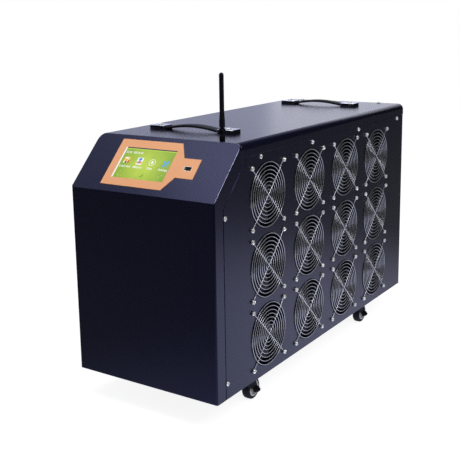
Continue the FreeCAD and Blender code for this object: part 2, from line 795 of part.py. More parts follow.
def make_antenna():
    nut = doc.addObject("Part::Prism", "Nut")
    nut.Polygon = 6
    bind(nut, Circumradius="nut_width", Height="nut_height")
    socket = joined(nut, rod("Z", "thread_radius", "0", "0", "0", "thread_height"))
    seat(socket, "antenna_socket", antenna_x, "antenna_y", "case_height")
    sleeve = rod("Z", "sleeve_radius", "0", "0", "nut_height + fit_gap", "sleeve_top - nut_height - fit_gap")
    bore = rod("Z", "thread_radius + running_gap", "0", "0", "0", "thread_height + fit_gap")
    ears = joined(block(("-sleeve_radius", "sleeve_radius"), ("-sleeve_radius", "sleeve_radius"),
                        ("sleeve_top", "pivot_height")),
                  rod("X", "sleeve_radius", "-sleeve_radius", "0", "pivot_height", "2 * sleeve_radius"))
    round_ears = shared(ears, rod("Z", "sleeve_radius", "0", "0", "0", "antenna_height"))
    slot = block(("-ear_gap / 2", "ear_gap / 2"), ("-2 * sleeve_radius", "2 * sleeve_radius"),
                 ("sleeve_top", "antenna_height"))
    pin = rod("X", "pivot_radius", "-ear_gap / 2 - fit_gap", "0", "pivot_height", "ear_gap + 2 * fit_gap")
    knuckle = joined(without(joined(sleeve, round_ears), bore, slot), pin)
    seat(knuckle, "antenna_knuckle", antenna_x, "antenna_y", "case_height")
    whip = doc.addObject("PartDesign::Body", "Whip")
    foot = "(pivot_height + sleeve_radius + fit_gap)"
    turned(whip, [[
        ("0", foot), ("whip_low_radius", foot), ("whip_low_radius", "whip_low_height"),
        ("whip_top_radius + fit_gap", "whip_low_height + 2 * whip_top_radius"),
        ("whip_top_radius", "antenna_height - whip_top_radius", "whip_top_radius"), ("0", "antenna_height")]])
    tongue_half = "(ear_gap / 2 - fit_gap)"
    slab(whip, "YZ_Plane", f"-{tongue_half}", f"2 * {tongue_half}", [[
        ("-tongue_radius", f"{foot} + fit_gap"), ("-tongue_radius", "pivot_height", "tongue_radius"),
        ("tongue_radius", "pivot_height"), ("tongue_radius", f"{foot} + fit_gap")]])
    slab(whip, "YZ_Plane", f"-{tongue_half} - wall", f"2 * {tongue_half} + 2 * wall",
         [("0", "pivot_height", "pivot_radius + running_gap")], cut=True)
    seat(whip, "antenna_whip", antenna_x, "antenna_y", "case_height")


# fans, drawn about their own axis with Z out of the panel

outward = Rotation(Vector(0, 1, 0), 90)


def fan_places():
    """The name and place of each fan, column by column from the front, bottom row first."""
    places = {}
    for column in range(sizes["fan_columns"]):
        for row in range(sizes["fan_rows"]):
            y = value(f"{first_column} + {column} * {column_pitch}")
            z = value(f"{first_row} + {row} * {row_pitch}")
            places[f"column{column + 1}_row{row + 1}"] = (y, z)
    return places


def make_guard_master():
    """A finger guard: concentric wire rings on two crossed spokes that bend down to screw eyes."""
    body = doc.addObject("PartDesign::Body", "Guard")
    rings = []
    for number in range(sizes["ring_count"]):
        middle = f"({guard_radius} - {number} * {ring_pitch})"
        rings.append(rectangle(f"{middle} - ring_wire / 2", f"{middle} + ring_wire / 2",
                               "ring_stand", "ring_stand + ring_wire"))
    turned(body, rings)
    top, low = guard_reach, f"({guard_reach} - spoke_wire)"
    eye = f"({screw_pitch} / sqrt(2))"
    bend = f"({guard_radius} + ring_wire)"
    heel = f"({eye} - eye_hole - spoke_wire / 2)"
    # the leg starts to rise just clear of the screw's head
    rise_start = f"({eye} - head_radius - fit_gap)"
    spoke = slab(body, "XZ_Plane", "-spoke_wire / 2", "spoke_wire", [[
        (f"-{heel}", "0"), (f"-{rise_start} + spoke_wire / 2", "0"), (f"-{bend}", low), (bend, low),
        (f"{rise_start} - spoke_wire / 2", "0"), (heel, "0"), (heel, "spoke_wire"),
        (rise_start, "spoke_wire"), (f"{bend} + spoke_wire / 2", top),
        (f"-{bend} - spoke_wire / 2", top), (f"-{rise_start}", "spoke_wire"),
        (f"-{heel}", "spoke_wire")]])
    eyes = slab(body, "XY_Plane", "0", "spoke_wire", [
        (f"{sign}{eye}", "0", radius) for sign in ("", "-") for radius in ("eye_radius", "eye_hole")])
    crossed = body.newObject("PartDesign::PolarPattern", "Crossed")
    crossed.Originals = [spoke, eyes]
    crossed.Axis = (eyes.Profile[0], ["N_Axis"])
    crossed.Angle = 90
    crossed.Occurrences = 2
    body.Tip = crossed
    return body


def make_frame_master():
    """A fan frame: square housing, round duct, four struts and the stator with its bearing."""
    side = f"({fan_size} / 2)"
    housing = block((f"-{side}", side), (f"-{side}", side), ("-fan_depth", "0"))
    duct = rod("Z", duct_radius, "0", "0", "-fan_depth - wall", "fan_depth + 2 * wall")
    along = (f"-{duct_radius} - wall", f"{duct_radius} + wall")
    across, depth = ("-strut_width / 2", "strut_width / 2"), ("-fan_depth", "-fan_depth + strut_depth")
    struts = [block(along, across, depth), block(across, along, depth)]
    stator = rod("Z", "stator_radius", "0", "0", "-fan_depth", "stator_height")
    bearing = rod("Z", "shaft_radius + running_gap", "0", "0", "-fan_depth - wall", "fan_depth")
    return without(joined(without(housing, duct), stator, *struts), bearing)


def make_rotor_master():
    """A fan rotor: hub and shaft turned in one, and blades lofted from root to tip."""
    body = doc.addObject("PartDesign::Body", "Rotor")
    front = "-hub_recess"
    back = "(-hub_recess - hub_height)"
    shaft_end = "(-fan_depth + stator_height - shaft_length)"
    hub = turned(body, [[
        ("0", shaft_end), ("shaft_radius", shaft_end), ("shaft_radius", back), ("hub_radius", back),
        ("hub_radius", f"{front} - wall"), ("hub_radius - wall", front), ("0", front)]])
    middle = f"(-hub_recess - hub_height / 2)"
    sections = []
    tip = f"sqrt(({duct_radius} - tip_gap) ^ 2 - (blade_tip * cos(tip_angle) / 2 + blade_thickness) ^ 2)"
    ends = (("blade_root", "root_angle", "hub_radius - 2 * wall"), ("blade_tip", "tip_angle", tip))
    for chord, angle, reach in ends:
        along = (f"({chord} / 2 * cos({angle}))", f"({chord} / 2 * sin({angle}))")
        through = (f"(blade_thickness / 2 * sin({angle}))", f"(blade_thickness / 2 * cos({angle}))")
        corners = [(f"-{along[0]} - {through[0]}", f"{middle} - {along[1]} + {through[1]}"),
                   (f"-{along[0]} + {through[0]}", f"{middle} - {along[1]} - {through[1]}"),
                   (f"{along[0]} + {through[0]}", f"{middle} + {along[1]} - {through[1]}"),
                   (f"{along[0]} - {through[0]}", f"{middle} + {along[1]} + {through[1]}")]
        sections.append(body_sketch(body, "YZ_Plane", [corners], reach))
    blade = body.newObject("PartDesign::AdditiveLoft", "Blade")
    blade.Profile = sections[0]
    blade.Sections = [sections[1]]
    blade.Ruled = True
    blades = body.newObject("PartDesign::PolarPattern", "Blades")
    blades.Originals = [blade]
    blades.Axis = (hub.Profile[0], ["V_Axis"])
    blades.Angle = 360
    bind(blades, Occurrences="blade_count")
    body.Tip = blades
    return body


def make_fans():
    face = value(fan_face)
    outer = value(half)
    spots = fan_places()
    upright = outward.multiply(Rotation(Vector(0, 0, 1), 45))
    copies("fan_guards", make_guard_master(),
           [Placement(Vector(outer, y, z), upright) for y, z in spots.values()])
    copies("fan_frames", make_frame_master(),
           [Placement(Vector(face, y, z), outward) for y, z in spots.values()])
    rotor = make_rotor_master()
    for name, (y, z) in spots.items():
        copies(f"fan_rotor_{name}", rotor, [Placement(Vector(face, y, z), outward)])


# screws: a plain eight-sided head each, standing on what it holds

def head_master(radius, height):
    head = doc.addObject("Part::Prism", "Head")
    head.Polygon = 8
    bind(head, Circumradius=radius, Height=height)
    return head


def make_screws():
    facing = {"+X": outward, "-X": Rotation(Vector(0, 1, 0), -90), "+Y": Rotation(Vector(1, 0, 0), -90),
              "+Z": Rotation(), "-Z": Rotation(Vector(1, 0, 0), 180)}
    small = head_master("head_radius", "head_height")
    half_pitch = value(f"{screw_pitch} / 2")
    outer, eye = value(half), value("spoke_wire")
    guard = [Placement(Vector(outer + eye, y + across * half_pitch, z + up * half_pitch), facing["+X"])
             for y, z in fan_places().values() for across in (-1, 1) for up in (-1, 1)]
    copies("guard_screws", small, guard)
    top = value("case_height - top_frame - panel_screw_inset")
    edge = value("front_frame + panel_screw_inset")
    spots = [(value("slope_run + panel_screw_first"), top)]
    spacing = f"({rear_face} - panel_screw_rear - panel_screw_second) / 2"
    spots += [(value(f"panel_screw_second + {number} * {spacing}"), top) for number in range(3)]
    spots += [(edge, value("panel_screw_low")), (edge, value("front_height - panel_screw_drop"))]
    panel = [Placement(Vector(side * outer, y, z), facing["+X" if side > 0 else "-X"])
             for side in (1, -1) for y, z in spots]
    rear = value(rear_face)
    inset, up = value(f"{half} - 2 * wall - fit_gap - head_radius"), value("rear_screw_height")
    panel += [Placement(Vector(side * inset, rear, up), facing["+Y"]) for side in (1, -1)]
    over, back = value("case_height"), value(f"{rear_face} - rear_flange / 2")
    panel += [Placement(Vector(value(x), back, over), facing["+Z"])
              for x in (f"top_screw_left - {half}", f"{half} - top_screw_right")]
    copies("panel_screws", small, panel)
    cap, crest = value("handle_length / 2 - cap_length / 2"), value("case_height + cap_height")
    handle = [Placement(Vector(value("handle_x") + side * cap, value(y), crest), facing["+Z"])
              for y in ("front_handle_y", rear_handle_y) for side in (1, -1)]
    copies("handle_screws", head_master("handle_screw_radius", "head_height"), handle)
    across = value("plate_width / 2 - plate_screw_inset")
    along = value("plate_length / 2 - plate_screw_inset")
    caster = [Placement(Vector(x + i * across, y + j * along, -value("plate_thickness")), facing["-Z"])
              for x, y in caster_places().values() for i in (-1, 1) for j in (-1, 1)]
    copies("caster_screws", small, caster)


# casters, drawn about their swivel axis with Z = 0 at the underside of the case

def caster_places():
    side = value(f"{half} - caster_inset")
    front, rear = value("front_caster_y"), value("case_length - rear_caster_inset")
    return {"front_right": (side, front), "front_left": (-side, front),
            "rear_right": (side, rear), "rear_left": (-side, rear)}


def make_caster_plate_master():
    plate = block(("-plate_width / 2", "plate_width / 2"), ("-plate_length / 2", "plate_length / 2"),
                  ("-plate_thickness", "0"))
    race = rod("Z", "race_radius", "0", "0", "-plate_thickness - race_depth", "race_depth")
    under = "(plate_thickness + race_depth + fork_sheet + 2 * fit_gap)"
    pin = rod("Z", "kingpin_radius", "0", "0", f"-{under}", under)
    head = rod("Z", "kingpin_head", "0", "0", f"-{under} - fork_sheet", "fork_sheet")
    return joined(plate, race, pin, head)


def make_fork_master():
    """A fork: crown plate, two cheeks that sweep back to the axle, and the axle bolt with its nuts."""
    top = "(-plate_thickness - race_depth - fit_gap)"
    axle = "(-caster_height + wheel_radius)"
    boss = "(axle_nut + fork_sheet)"
    crown = rod("Z", "race_radius", "0", "0", f"{top} - fork_sheet", "fork_sheet")
    hole = rod("Z", "kingpin_radius + running_gap", "0", "0", f"{top} - 2 * fork_sheet", "4 * fork_sheet")
    near = "(core_length / 2 + fork_gap)"
    cheeks = []
    for start in (near, f"-{near} - fork_sheet"):
        cheeks.append(prism("YZ_Plane", start, "fork_sheet", [[
            ("-race_radius + fork_sheet", f"{top} - 2 * fork_sheet"), (f"trail - {boss}", axle, boss),
            (f"trail + {boss}", axle), ("race_radius - fork_sheet", top),
            ("-race_radius + fork_sheet", top)]]))
    bolt = rod("X", "axle_radius", "-axle_end", "trail", axle, "2 * axle_end")
    nuts = [rod("X", "axle_nut", start, "trail", axle, "axle_nut_width")
            for start in (f"{near} + fork_sheet", f"-{near} - fork_sheet - axle_nut_width")]
    return without(joined(crown, *cheeks, bolt, *nuts), hole)


def make_wheel_masters():
    core = doc.addObject("PartDesign::Body", "Core")
    bore, hub = "(axle_radius + running_gap)", "(axle_radius + hub_wall)"
    rim, web, wide = "(core_radius - rim_wall)", "(wheel_width / 4)", "(wheel_width / 2)"
    turned(core, [[(bore, "-core_length / 2"), (hub, "-core_length / 2"), (hub, f"-{web}"), (rim, f"-{web}"),
                   (rim, f"-{wide}"), ("core_radius", f"-{wide}"), ("core_radius", wide), (rim, wide),
                   (rim, web), (hub, web), (hub, "core_length / 2"), (bore, "core_length / 2")]])
    tyre = doc.addObject("PartDesign::Body", "Tyre")
    shoulder = f"({wide} - tread_round)"
    turned(tyre, [[("core_radius", f"-{wide}"), ("wheel_radius - tread_round", f"-{wide}", "tread_round"),
                   ("wheel_radius", f"-{shoulder}"), ("wheel_radius", shoulder, "tread_round"),
                   ("wheel_radius - tread_round", wide), ("core_radius", wide)]])
    return core, tyre


def make_casters():
    spots = caster_places()
    copies("caster_plates", make_caster_plate_master(),
           [Placement(Vector(x, y, 0), Rotation()) for x, y in spots.values()])
    fork = make_fork_master()
    core, tyre = make_wheel_masters()
    drop, trail = value("-caster_height + wheel_radius"), value("trail")
    for name, (x, y) in spots.items():
        copies(f"caster_fork_{name}", fork, [Placement(Vector(x, y, 0), Rotation())])
        centre = Placement(Vector(x, y + trail, drop), outward)
        copies(f"wheel_core_{name}", core, [centre])
        copies(f"wheel_tyre_{name}", tyre, [centre])


# rear connections

def make_terminals():
    for label, x in (("positive_terminal_block", "terminal_x"), ("negative_terminal_block", "-terminal_x")):
        reach = "terminal_size / 2"
        base = block((f"{x} - {reach}", f"{x} + {reach}"), (rear_face, f"{rear_face} + terminal_depth"),
                     (f"terminal_z - {reach}", f"terminal_z + {reach}"))
        boss = rod("Y", "terminal_boss", x, f"{rear_face} - boss_depth", "terminal_z", "boss_depth + wall")
        hole = rod("Y", "stud_shoulder + fit_gap", x, f"{rear_face} - boss_depth - wall", "terminal_z",
                   "boss_depth + terminal_depth + 2 * wall")
        seat(without(joined(base, boss), hole), label)
    studs, nuts = [], []
    shoulder = "stud_inside + terminal_depth + stud_nut_height"
    for x in ("terminal_x", "-terminal_x"):
        inner = f"{rear_face} - stud_inside"
        studs.append(joined(rod("Y", "stud_shoulder", x, inner, "terminal_z", shoulder),
                            rod("Y", "stud_radius", x, inner, "terminal_z", f"stud_inside + {stud_reach}")))
        nut = doc.addObject("Part::Prism", "Nut")
        nut.Polygon = 6
        nut.Placement = Placement(Vector(), Rotation(Vector(1, 0, 0), -90))
        bind(nut, Circumradius="stud_nut", Height="stud_nut_height", Placement__Base__x=x,
             Placement__Base__y=f"{rear_face} + terminal_depth", Placement__Base__z="terminal_z")
        nuts.append(without(nut, rod("Y", "stud_shoulder", x, rear_face, "terminal_z", stud_reach)))
    gathered("terminal_studs", studs)
    gathered("terminal_nuts", nuts)


def make_breaker():
    """A breaker: body through the panel, and a lever on a drum in its face, thrown down to off."""
    left, right = "(breaker_x - breaker_width / 2)", "(breaker_x + breaker_width / 2)"
    face = f"({rear_face} + breaker_face)"
    body = block((left, right), (f"{face} - breaker_depth", face),
                 ("breaker_z - breaker_tall / 2", "breaker_z + breaker_tall / 2"))
    pivot = f"({face} - lever_drum / 2)"
    slot_half = "(lever_width / 2 + fit_gap)"
    slot_left = f"breaker_x - {slot_half}"
    drum_seat = rod("X", "lever_drum + fit_gap", slot_left, pivot, "breaker_z", f"2 * {slot_half}")
    pin = rod("X", "pivot_radius", f"{slot_left} - wall", pivot, "breaker_z", f"2 * {slot_half} + 2 * wall")
    seat(joined(without(body, drum_seat), pin), "breaker_body")
    drum = rod("X", "lever_drum", "-lever_width / 2", "0", "0", "lever_width")
    grip = block(("-lever_width / 2", "lever_width / 2"), ("0", "lever_drum + lever_reach"),
                 ("-lever_grip / 2", "lever_grip / 2"))
    bore = rod("X", "pivot_radius + running_gap", "-lever_width", "0", "0", "2 * lever_width")
    seat(without(joined(drum, grip), bore), "breaker_lever", "breaker_x", pivot, "breaker_z",
         turn=((1, 0, 0), "-lever_swing"))


def make_inlet():
    """The mains inlet: a flanged socket with three recessed pins, for the fans and the controller."""
    body = doc.addObject("PartDesign::Body", "Inlet")
    slab(body, "XZ_Plane", rear_face, "inlet_face",
         [around("inlet_x", "inlet_width / 2", "inlet_z", "inlet_tall / 2")])
    slab(body, "XZ_Plane", f"{rear_face} - inlet_depth", "inlet_depth", [
        around("inlet_x", "inlet_width / 2 - inlet_border", "inlet_z", "inlet_tall / 2 - inlet_border")])
    mouth = f"({rear_face} + inlet_face)"
    left, right = "inlet_x - cavity_width / 2", "inlet_x + cavity_width / 2"
    low, high = "inlet_z - cavity_tall / 2", "inlet_z + cavity_tall / 2"
    slab(body, "XZ_Plane", f"{mouth} - cavity_depth", "cavity_depth + wall", [[
        (left, low), (right, low), (right, f"{high} - cavity_chamfer"), (f"{right} - cavity_chamfer", high),
        (f"{left} + cavity_chamfer", high), (left, f"{high} - cavity_chamfer")]], cut=True)
    pins = [around(f"(inlet_x {x})", "pin_width / 2", f"(inlet_z {z})", "pin_tall / 2")
            for x, z in (("- pin_spread", "- pin_drop"), ("", "+ pin_drop"), ("+ pin_spread", "- pin_drop"))]
    slab(body, "XZ_Plane", f"{mouth} - cavity_depth", "pin_length", pins)
    seat(body, "inlet_socket")


def make_switch():
    """The mains rocker switch: a bezel with a well, and a rocker that tips on two pins in it."""
    body = doc.addObject("PartDesign::Body", "SwitchBezel")
    slab(body, "XZ_Plane", rear_face, "wall",
         [around("inlet_x", "bezel_width / 2", rocker_z, "bezel_tall / 2")])
    slab(body, "XZ_Plane", f"{rear_face} - rocker_tall", "rocker_tall", [
        around("inlet_x", "bezel_width / 2 - bezel_border", rocker_z, "bezel_tall / 2 - bezel_border")])
    slab(body, "XZ_Plane", f"{rear_face} - rocker_tall + wall", "rocker_tall + wall", [
        around("inlet_x", "rocker_width / 2 + fit_gap", rocker_z, "rocker_tall / 2 + 3 * fit_gap")], cut=True)
    depth = f"({rear_face} - wall)"
    reach = "(rocker_width / 2 + fit_gap + wall / 2)"
    slab(body, "YZ_Plane", f"inlet_x - {reach}", f"2 * {reach}",
         [(depth, rocker_z, "pivot_radius + running_gap")], cut=True)
    seat(body, "switch_bezel")
    rocker = doc.addObject("PartDesign::Body", "Rocker")
    half_width, half_tall = "(rocker_width / 2)", "(rocker_tall / 2)"
    crest = "(rocker_tall / 2 * tan(rocker_swing))"
    face = "(rocker_root + wall)"
    slab(rocker, "YZ_Plane", f"-{half_width}", "rocker_width", [[
        ("-rocker_root", f"-{half_tall} + rocker_root"), ("rocker_root", f"-{half_tall}"),
        (f"{face} + {crest}", f"-{half_tall}"), (face, "0"), (f"{face} + {crest}", half_tall),
        ("rocker_root", half_tall), ("-rocker_root", f"{half_tall} - rocker_root")]])
    slab(rocker, "YZ_Plane", f"-{half_width} - wall / 2", "rocker_width + wall", [("0", "0", "pivot_radius")])
    seat(rocker, "rocker_switch", "inlet_x", depth, rocker_z, turn=((1, 0, 0), "rocker_swing"))


def make_comms_port():
    body = doc.addObject("PartDesign::Body", "CommsPort")
    slab(body, "XZ_Plane", rear_face, "wall / 2",
         [around("inlet_x", "comms_width / 2", comms_z, "comms_tall / 2")])
    low, high = f"{comms_z} - shell_low", f"{comms_z} + shell_high"
    shell = [("inlet_x - shell_half + shell_taper", low), ("inlet_x + shell_half - shell_taper", low),
             ("inlet_x + shell_half", high), ("inlet_x - shell_half", high)]
    slab(body, "XZ_Plane", f"{rear_face} - comms_reach", "2 * comms_reach", [shell])
    jacks = [rod("Y", "2 * wall", f"inlet_x {sign} jack_spread", rear_face, comms_z, "comms_reach")
             for sign in "-+"]
    seat(joined(body, *jacks), "comms_port")


# inside the case

def make_resistors():
    racks, tubes = [], []
    floor, top = "base_sheet", "(case_height - rack_over)"
    near, far = f"(rack_left - {half})", f"({fan_face} - fan_depth - rack_gap)"
    reach = f"({fan_size} / 2 - rack_inset)"
    for column in range(sizes["fan_columns"]):
        middle = f"({first_column} + {column} * {column_pitch})"
        foot = block((near, far), (f"{middle} - {reach}", f"{middle} + {reach}"), (floor, f"{floor} + wall"))
        cheeks = [block((near, far), (f"{middle} - {reach}", f"{middle} - {reach} + wall"), (floor, top)),
                  block((near, far), (f"{middle} + {reach} - wall", f"{middle} + {reach}"), (floor, top))]
        racks.append(joined(foot, *cheeks))
        for row in range(sizes["tube_rows"]):
            for x in (f"{near} / 2", f"{far} / 2"):
                z = f"{first_row} / 2 + {row} * ({top} - {first_row}) / (tube_rows - 1)"
                start = f"{middle} - {reach} + wall"
                tubes.append(rod("Y", "tube_radius", x, start, z, f"2 * ({reach} - wall)"))
    gathered("resistor_racks", racks)
    gathered("resistor_tubes", tubes)


def make_power_parts():
    near = f"({rear_face} - wall - stud_inside - contactor_length)"
    case = block(("-contactor_width / 2", "contactor_width / 2"), (near, f"{near} + contactor_length"),
                 ("base_sheet", "base_sheet + contactor_height"))
    crown = block(("-contactor_width / 4", "contactor_width / 4"),
                  (f"{near} + crown_inset", f"{near} + contactor_length - crown_inset"),
                  ("base_sheet", "base_sheet + contactor_height + crown_rise"))
    seat(joined(case, crown), "contactor")
    end = f"{rear_face} - stud_inside"
    inner, outer = "contactor_width / 2 - bar_width", "terminal_x + bar_width / 2"
    height = ("terminal_z - bar_width / 2", "terminal_z + bar_width / 2")
    bars = [block(reach, (f"{end} - bar_thickness", end), height)
            for reach in ((inner, outer), (f"-({outer})", f"-({inner})"))]
    gathered("busbars", bars)


make_front_fascia()
make_top_cover()
make_fan_panel()
make_vent_panel()
make_base_pan()
make_rear_panel()
make_control_overlay()
make_touch_screen()
make_usb_socket()
make_control_board()
make_handles()
make_antenna()
make_fans()
make_casters()
make_screws()
make_terminals()
make_breaker()
make_inlet()
make_switch()
make_comms_port()
make_resistors()
make_power_parts()
doc.recompute()

for thing in doc.Objects:
    if "Invalid" in thing.State or "Error" in thing.State:
        raise RuntimeError(f"{thing.Label} did not build: {thing.State}")
    if thing.TypeId in ("PartDesign::Pocket", "PartDesign::Groove"):
        if thing.Shape.Volume > thing.BaseFeature.Shape.Volume - 0.001:
            raise RuntimeError(f"{thing.Label} cuts nothing")
for part in subparts:
    if part.Shape.isNull() or not part.Shape.isValid() or not part.Shape.Solids:
        raise RuntimeError(f"{part.Label} is not a valid solid")

os.makedirs("parts", exist_ok=True)
for part in subparts:
    part.Shape.exportStep(f"parts/{part.Label}.step")
print(len(subparts), "sub-parts")
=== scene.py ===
import math

import bmesh
import bpy
from mathutils import Matrix, Vector


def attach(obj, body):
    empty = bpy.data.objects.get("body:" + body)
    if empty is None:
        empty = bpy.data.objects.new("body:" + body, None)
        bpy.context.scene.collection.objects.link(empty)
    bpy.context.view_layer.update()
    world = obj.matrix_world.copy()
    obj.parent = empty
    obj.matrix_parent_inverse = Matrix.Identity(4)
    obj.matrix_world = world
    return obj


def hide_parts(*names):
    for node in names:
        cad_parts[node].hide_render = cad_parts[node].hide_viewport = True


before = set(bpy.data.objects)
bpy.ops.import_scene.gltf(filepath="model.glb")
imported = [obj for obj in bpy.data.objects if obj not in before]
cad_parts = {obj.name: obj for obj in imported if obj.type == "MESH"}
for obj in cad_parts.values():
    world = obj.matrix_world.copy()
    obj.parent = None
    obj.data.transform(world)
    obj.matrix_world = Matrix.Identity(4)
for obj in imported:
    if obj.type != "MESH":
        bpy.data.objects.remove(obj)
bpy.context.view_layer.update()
print("CAD frame loaded")

# Shapes are worked out in millimetres. The case's own frame has its middle at x 0, its front
# face at y 0 and its underside at z 0, as in the CAD source.
caseSizes = {
    "origin": (-1.2, -399.25, 50),
    "halfWidth": 150,
    "sheet": 1.5,
    "top": 420,
    "frontHeight": 336,
    "slopeRun": 84,
    "rearFace": 758.5,
}
behindPanel = caseSizes["halfWidth"] - caseSizes["sheet"]


def placed(x=0, y=0, z=0, turn=Matrix()):
    # takes millimetres in a piece's own frame to metres in the row frame
    base = Matrix.Translation(Vector(caseSizes["origin"]) / 1000)
    return base @ Matrix.Translation(Vector((x, y, z)) / 1000) @ turn @ Matrix.Scale(0.001, 4)


slopeAngle = math.atan2(caseSizes["top"] - caseSizes["frontHeight"], caseSizes["slopeRun"])
onSlope = placed(z=caseSizes["frontHeight"], turn=Matrix.Rotation(slopeAngle, 4, "X"))
facingRight = Matrix.Rotation(math.pi / 2, 4, "Y")
facingLeft = Matrix.Rotation(-math.pi / 2, 4, "Y")
facingRear = Matrix.Rotation(-math.pi / 2, 4, "X")
facingDown = Matrix.Rotation(math.pi, 4, "X")
# stands an outline up: its x and y run along y and z, and its height along x
standing = Matrix(((0, 0, 1, 0), (1, 0, 0, 0), (0, 1, 0, 0), (0, 0, 0, 1)))


# materials

def linear(hexColour):
    channels = [int(hexColour[i:i + 2], 16) / 255 for i in (1, 3, 5)]
    return tuple(c / 12.92 if c <= 0.04045 else ((c + 0.055) / 1.055) ** 2.4
                 for c in channels) + (1.0,)


def addNode(tree, kind, settings=None, links=None):
    # gives back the node's outputs, for the links of later nodes
    node = tree.nodes.new("ShaderNode" + kind)
    for name, setting in (settings or {}).items():
        if isinstance(name, str) and name[0].islower():
            setattr(node, name, setting)
        else:
            node.inputs[name].default_value = setting
    for name, socket in (links or {}).items():
        tree.links.new(socket, node.inputs[name])
    return node.outputs


def mixed(tree, first, second, share):
    # a colour between two others
    return addNode(tree, "Mix", {"data_type": "RGBA", 6: linear(first), 7: linear(second)},
                   {0: share})[2]


def fade(tree, socket, near, far, first, last):
    # goes smoothly from the first value to the last between two limits
    return addNode(tree, "MapRange", {"interpolation_type": "SMOOTHSTEP", "From Min": near,
                                      "From Max": far, "To Min": first, "To Max": last},
                   {"Value": socket})["Result"]


def newMaterial(name):
    material = bpy.data.materials.new(name)
    material.use_nodes = True
    tree = material.node_tree
    tree.nodes.clear()
    return material, tree


def surfaceMaterial(name, look):
    # a coated, moulded or plated surface: two close colours in soft patches, a fine grain,
    # and uneven gloss
    material, tree = newMaterial(name)
    place = addNode(tree, "TexCoord")
    stretch = addNode(tree, "Mapping", {"Scale": look.get("stretch", (1, 1, 1))},
                      {"Vector": place["Object"]})
    where = {"Vector": stretch["Vector"]}
    patches = addNode(tree, "TexNoise", {"Scale": 1000 / look["patchMm"], "Detail": 3.0}, where)
    grain = addNode(tree, "TexNoise",
                    {"Scale": 1000 / look["grainMm"], "Detail": 2.0, "Roughness": 0.6}, where)
    colour = mixed(tree, look["colour"], look["second"], patches["Fac"])
    rough, uneven = look["roughness"], look["uneven"]
    gloss = addNode(tree, "MapRange", {"From Min": 0.3, "From Max": 0.7,
                                       "To Min": rough - uneven, "To Max": rough + uneven},
                    {"Value": grain["Fac"]})
    relief = addNode(tree, "Bump", {"Strength": look["relief"],
                                    "Distance": look["grainMm"] / 4000}, {"Height": grain["Fac"]})
    fixed = {"Metallic": look.get("metallic", 0.0), **look.get("shader", {})}
    shader = addNode(tree, "BsdfPrincipled", fixed,
                     {"Base Color": colour, "Roughness": gloss["Result"],
                      "Normal": relief["Normal"]})
    addNode(tree, "OutputMaterial", None, {"Surface": shader["BSDF"]})
    return material


# a dark pane that shows only the light behind it
litPane = {"Base Color": (0, 0, 0, 1), "Roughness": 0.3, "IOR": 1.2, "Emission Strength": 1.0}


def litMaterial(name, hexColour):
    # a part of the display's picture, lit from behind
    material, tree = newMaterial(name)
    shader = addNode(tree, "BsdfPrincipled", {**litPane, "Emission Color": linear(hexColour)})
    addNode(tree, "OutputMaterial", None, {"Surface": shader["BSDF"]})
    return material


